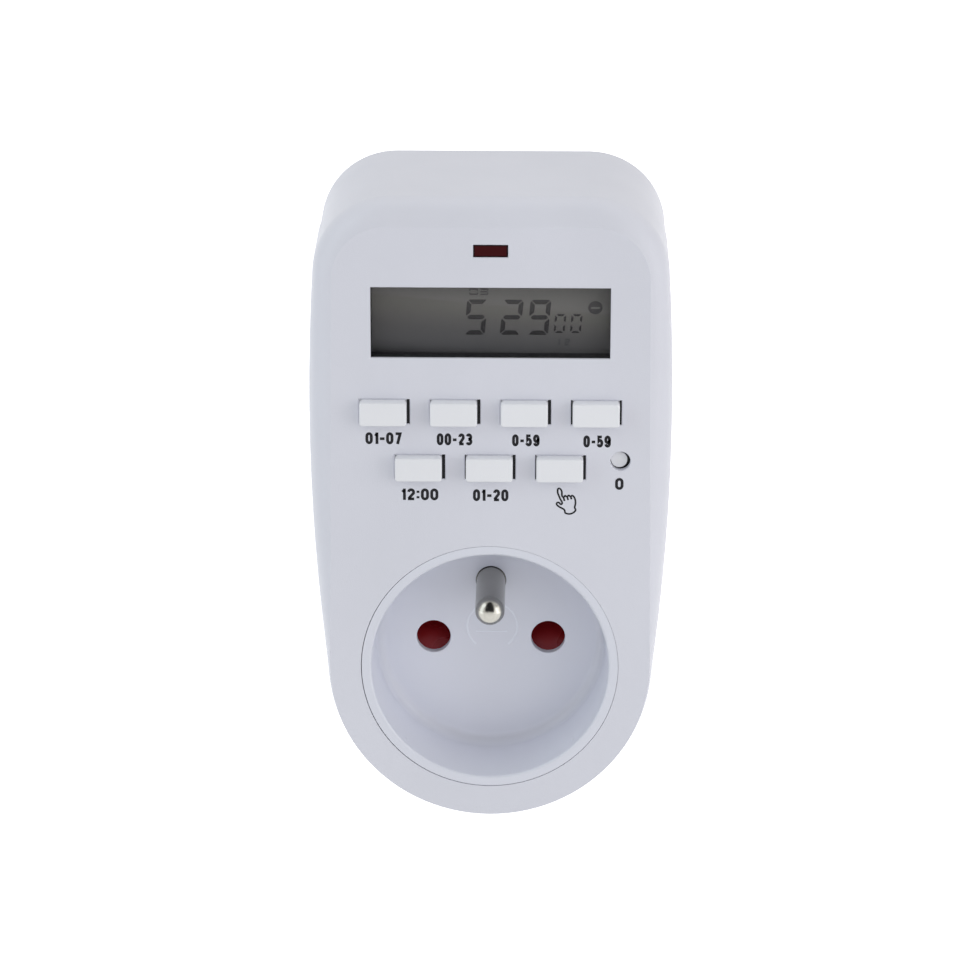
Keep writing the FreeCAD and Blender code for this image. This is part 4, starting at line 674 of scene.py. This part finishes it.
def add_hand_sign():
    """A generic pointing hand at the manual key, drawn in outline; points in mm round the sign's middle."""
    outline = (
        (-0.55, -2.15), (-0.60, -1.55), (-1.30, -0.75), (-1.52, -0.20), (-1.22, -0.05), (-0.78, -0.50),
        (-0.76, 0.60), (-0.78, 1.85), (-0.48, 2.22), (-0.18, 1.85), (-0.16, 0.55), (0.14, 0.74), (0.44, 0.50),
        (0.72, 0.64), (1.00, 0.36), (1.26, 0.46), (1.48, 0.15), (1.46, -0.85), (1.12, -1.60), (1.08, -2.15),
    )
    folds = (((-0.16, 0.55), (-0.16, -0.10)), ((0.44, 0.50), (0.44, -0.10)), ((1.00, 0.36), (1.00, -0.12)))
    middle, tilt, width = (12.10, 28.95), math.radians(16), 0.31 * MM

    def placed(points):
        return [(middle[0] + x * math.cos(tilt) - z * math.sin(tilt),
                 middle[1] + x * math.sin(tilt) + z * math.cos(tilt)) for x, z in points]

    drawn_line("print_hand", placed(outline), width, FACE, FILM, PRINT_INK_AND_SHADE, closed=True)
    for number, fold in enumerate(folds):
        drawn_line(f"print_hand_fold_{number}", placed(fold), width, FACE, FILM, PRINT_INK_AND_SHADE,
                   smooth=False)


def add_floor_mark():
    """The faint moulding mark on the outlet's floor: a ring, open at its foot, and a line across it."""
    centre, radius, steps, opening = (0.2, 1.9), 4.15, 24, math.radians(80)
    start, sweep = (opening - math.pi) / 2, math.tau - opening
    turns = [start + sweep * step / steps for step in range(steps + 1)]
    ring_points = on_ellipse(centre, (radius, radius), turns)
    line_points = ((-2.5, 0.95), (2.7, 0.95))
    ring_width, line_width, thick = 0.34 * MM, 0.26 * MM, 0.02 * MM
    drawn_line("floor_ring", ring_points, ring_width, OUTLET_FLOOR, thick, FLOOR_MARK)
    drawn_line("floor_line", line_points, line_width, OUTLET_FLOOR, thick, FLOOR_MARK, smooth=False)


# Trim of the window, the indicator, the earth pin, the keys and the plug.

def add_rims():
    """The dark edge linings of window and indicator, a dark ring of painted shadow at the earth pin's root and
    the collar round it.
    """
    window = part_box("display_window")[0].y
    rim("window_edge", middle=(0.0, 58.625), half_wide=19.0, half_tall=5.775, wide=0.035,
        levels=(window + 0.02 * MM, window + 2.4 * MM), material=DARK_LINING_AND_SHADOW)
    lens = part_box("indicator_lens")[0].y
    rim("lens_edge", middle=(0.0, 70.5), half_wide=2.52, half_tall=0.80, wide=0.18,
        levels=(lens - FILM, lens), material=LENS_EDGE)
    pin, pin_edge, shadow_ring_edge, collar_edge = (0.0, 10.0), 2.42, 2.52, 2.75
    raised = (OUTLET_FLOOR - 0.03 * MM, OUTLET_FLOOR)
    flush = (OUTLET_FLOOR - 0.01 * MM, OUTLET_FLOOR + 0.02 * MM)
    # A dark ring of painted shadow where the pin meets the outlet's floor.
    washer("pin_shadow_ring", pin, pin_edge, shadow_ring_edge, raised, DARK_LINING_AND_SHADOW, "black_plastic")
    washer("pin_collar", pin, shadow_ring_edge, collar_edge, flush, MATERIALS["outlet"], "outlet")


# Each key, how far its cap leans to the left in its opening's play, and whether the left gap is closed with
# housing plastic; an open one gets a dark lip of painted shade.
KEYS = (
    ("week", 0.9, True), ("hour", 1.0, True), ("minute", 1.0, True), ("second", 0.2, False),
    ("clock", 1.0, True), ("program", 0.7, False), ("manual", 0.7, False),
)


def add_key_lips():
    """Thin lips in the key openings: dark ones of painted shade where a gap shows dark, else of housing
    plastic.

    They stay clear of the caps and bite a little into the housing. The reset button's hole has a dark one of
    painted shade too.
    """
    half_cap, half_hole = (3.75, 1.95), (4.05, 2.05)
    full_lean, clearance, bite = 0.2, 0.03, 0.02
    deep = (FACE + 0.22 * MM, FACE + 0.30 * MM)
    flush = (FACE + 0.01 * MM, FACE + 0.10 * MM)
    housing = (flush, MATERIALS["housing"], "housing")
    # The dark lips are painted shade: dark sheets in the gaps.
    dark = (deep, PRINT_INK_AND_SHADE, "black_plastic")
    for name, lean, closed_left in KEYS:
        low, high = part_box("key_" + name)
        x, z = (low.x + high.x) / 2 / MM, (low.z + high.z) / 2 / MM
        cap = x - full_lean * lean
        right = (cap + half_cap[0] + clearance, x + half_hole[0] + bite)
        left = (x - half_hole[0] - bite, cap - half_cap[0] - clearance)
        tall = (z - half_hole[1], z + half_hole[1])
        above = (z + half_cap[1] + clearance, z + half_hole[1] + bite)
        box_lip(name + "_right_shade_lip", *right, *tall, *dark)
        box_lip(name + "_left_lip", *left, *tall, *(housing if closed_left else dark))
        box_lip(name + "_top_lip", left[1], right[0], *above, *housing)
    low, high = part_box("reset_button")
    middle = ((low.x + high.x) / 2 / MM - full_lean, (low.z + high.z) / 2 / MM)
    inner, outer = 1.33, 1.85
    deeper = (FACE + 1.3 * MM, FACE + 1.4 * MM)
    # A dark ring of painted shade deep in the reset button's hole.
    washer("reset_shade_lip", middle, inner, outer, deeper, PRINT_INK_AND_SHADE, "black_plastic")


def add_groove_ends():
    """Webs that close the inner ends of the plug's side grooves towards the boss's hollow."""
    inner, outer, half_tall = 15.45, 16.65, 2.95
    back, thick = -16.52 * MM, 0.8 * MM
    levels = (back - thick, back)
    for name, left, right in (("left_groove_end", -outer, -inner), ("right_groove_end", inner, outer)):
        box_lip(name, left, right, -half_tall, half_tall, levels, MATERIALS["housing"], "housing")


add_camera()
add_room()
dress_frame()
add_key_lips()
add_groove_ends()
for label in LABELS:
    printed_figures(*label)
add_hand_sign()
add_display_figures()
add_rims()
add_floor_mark()
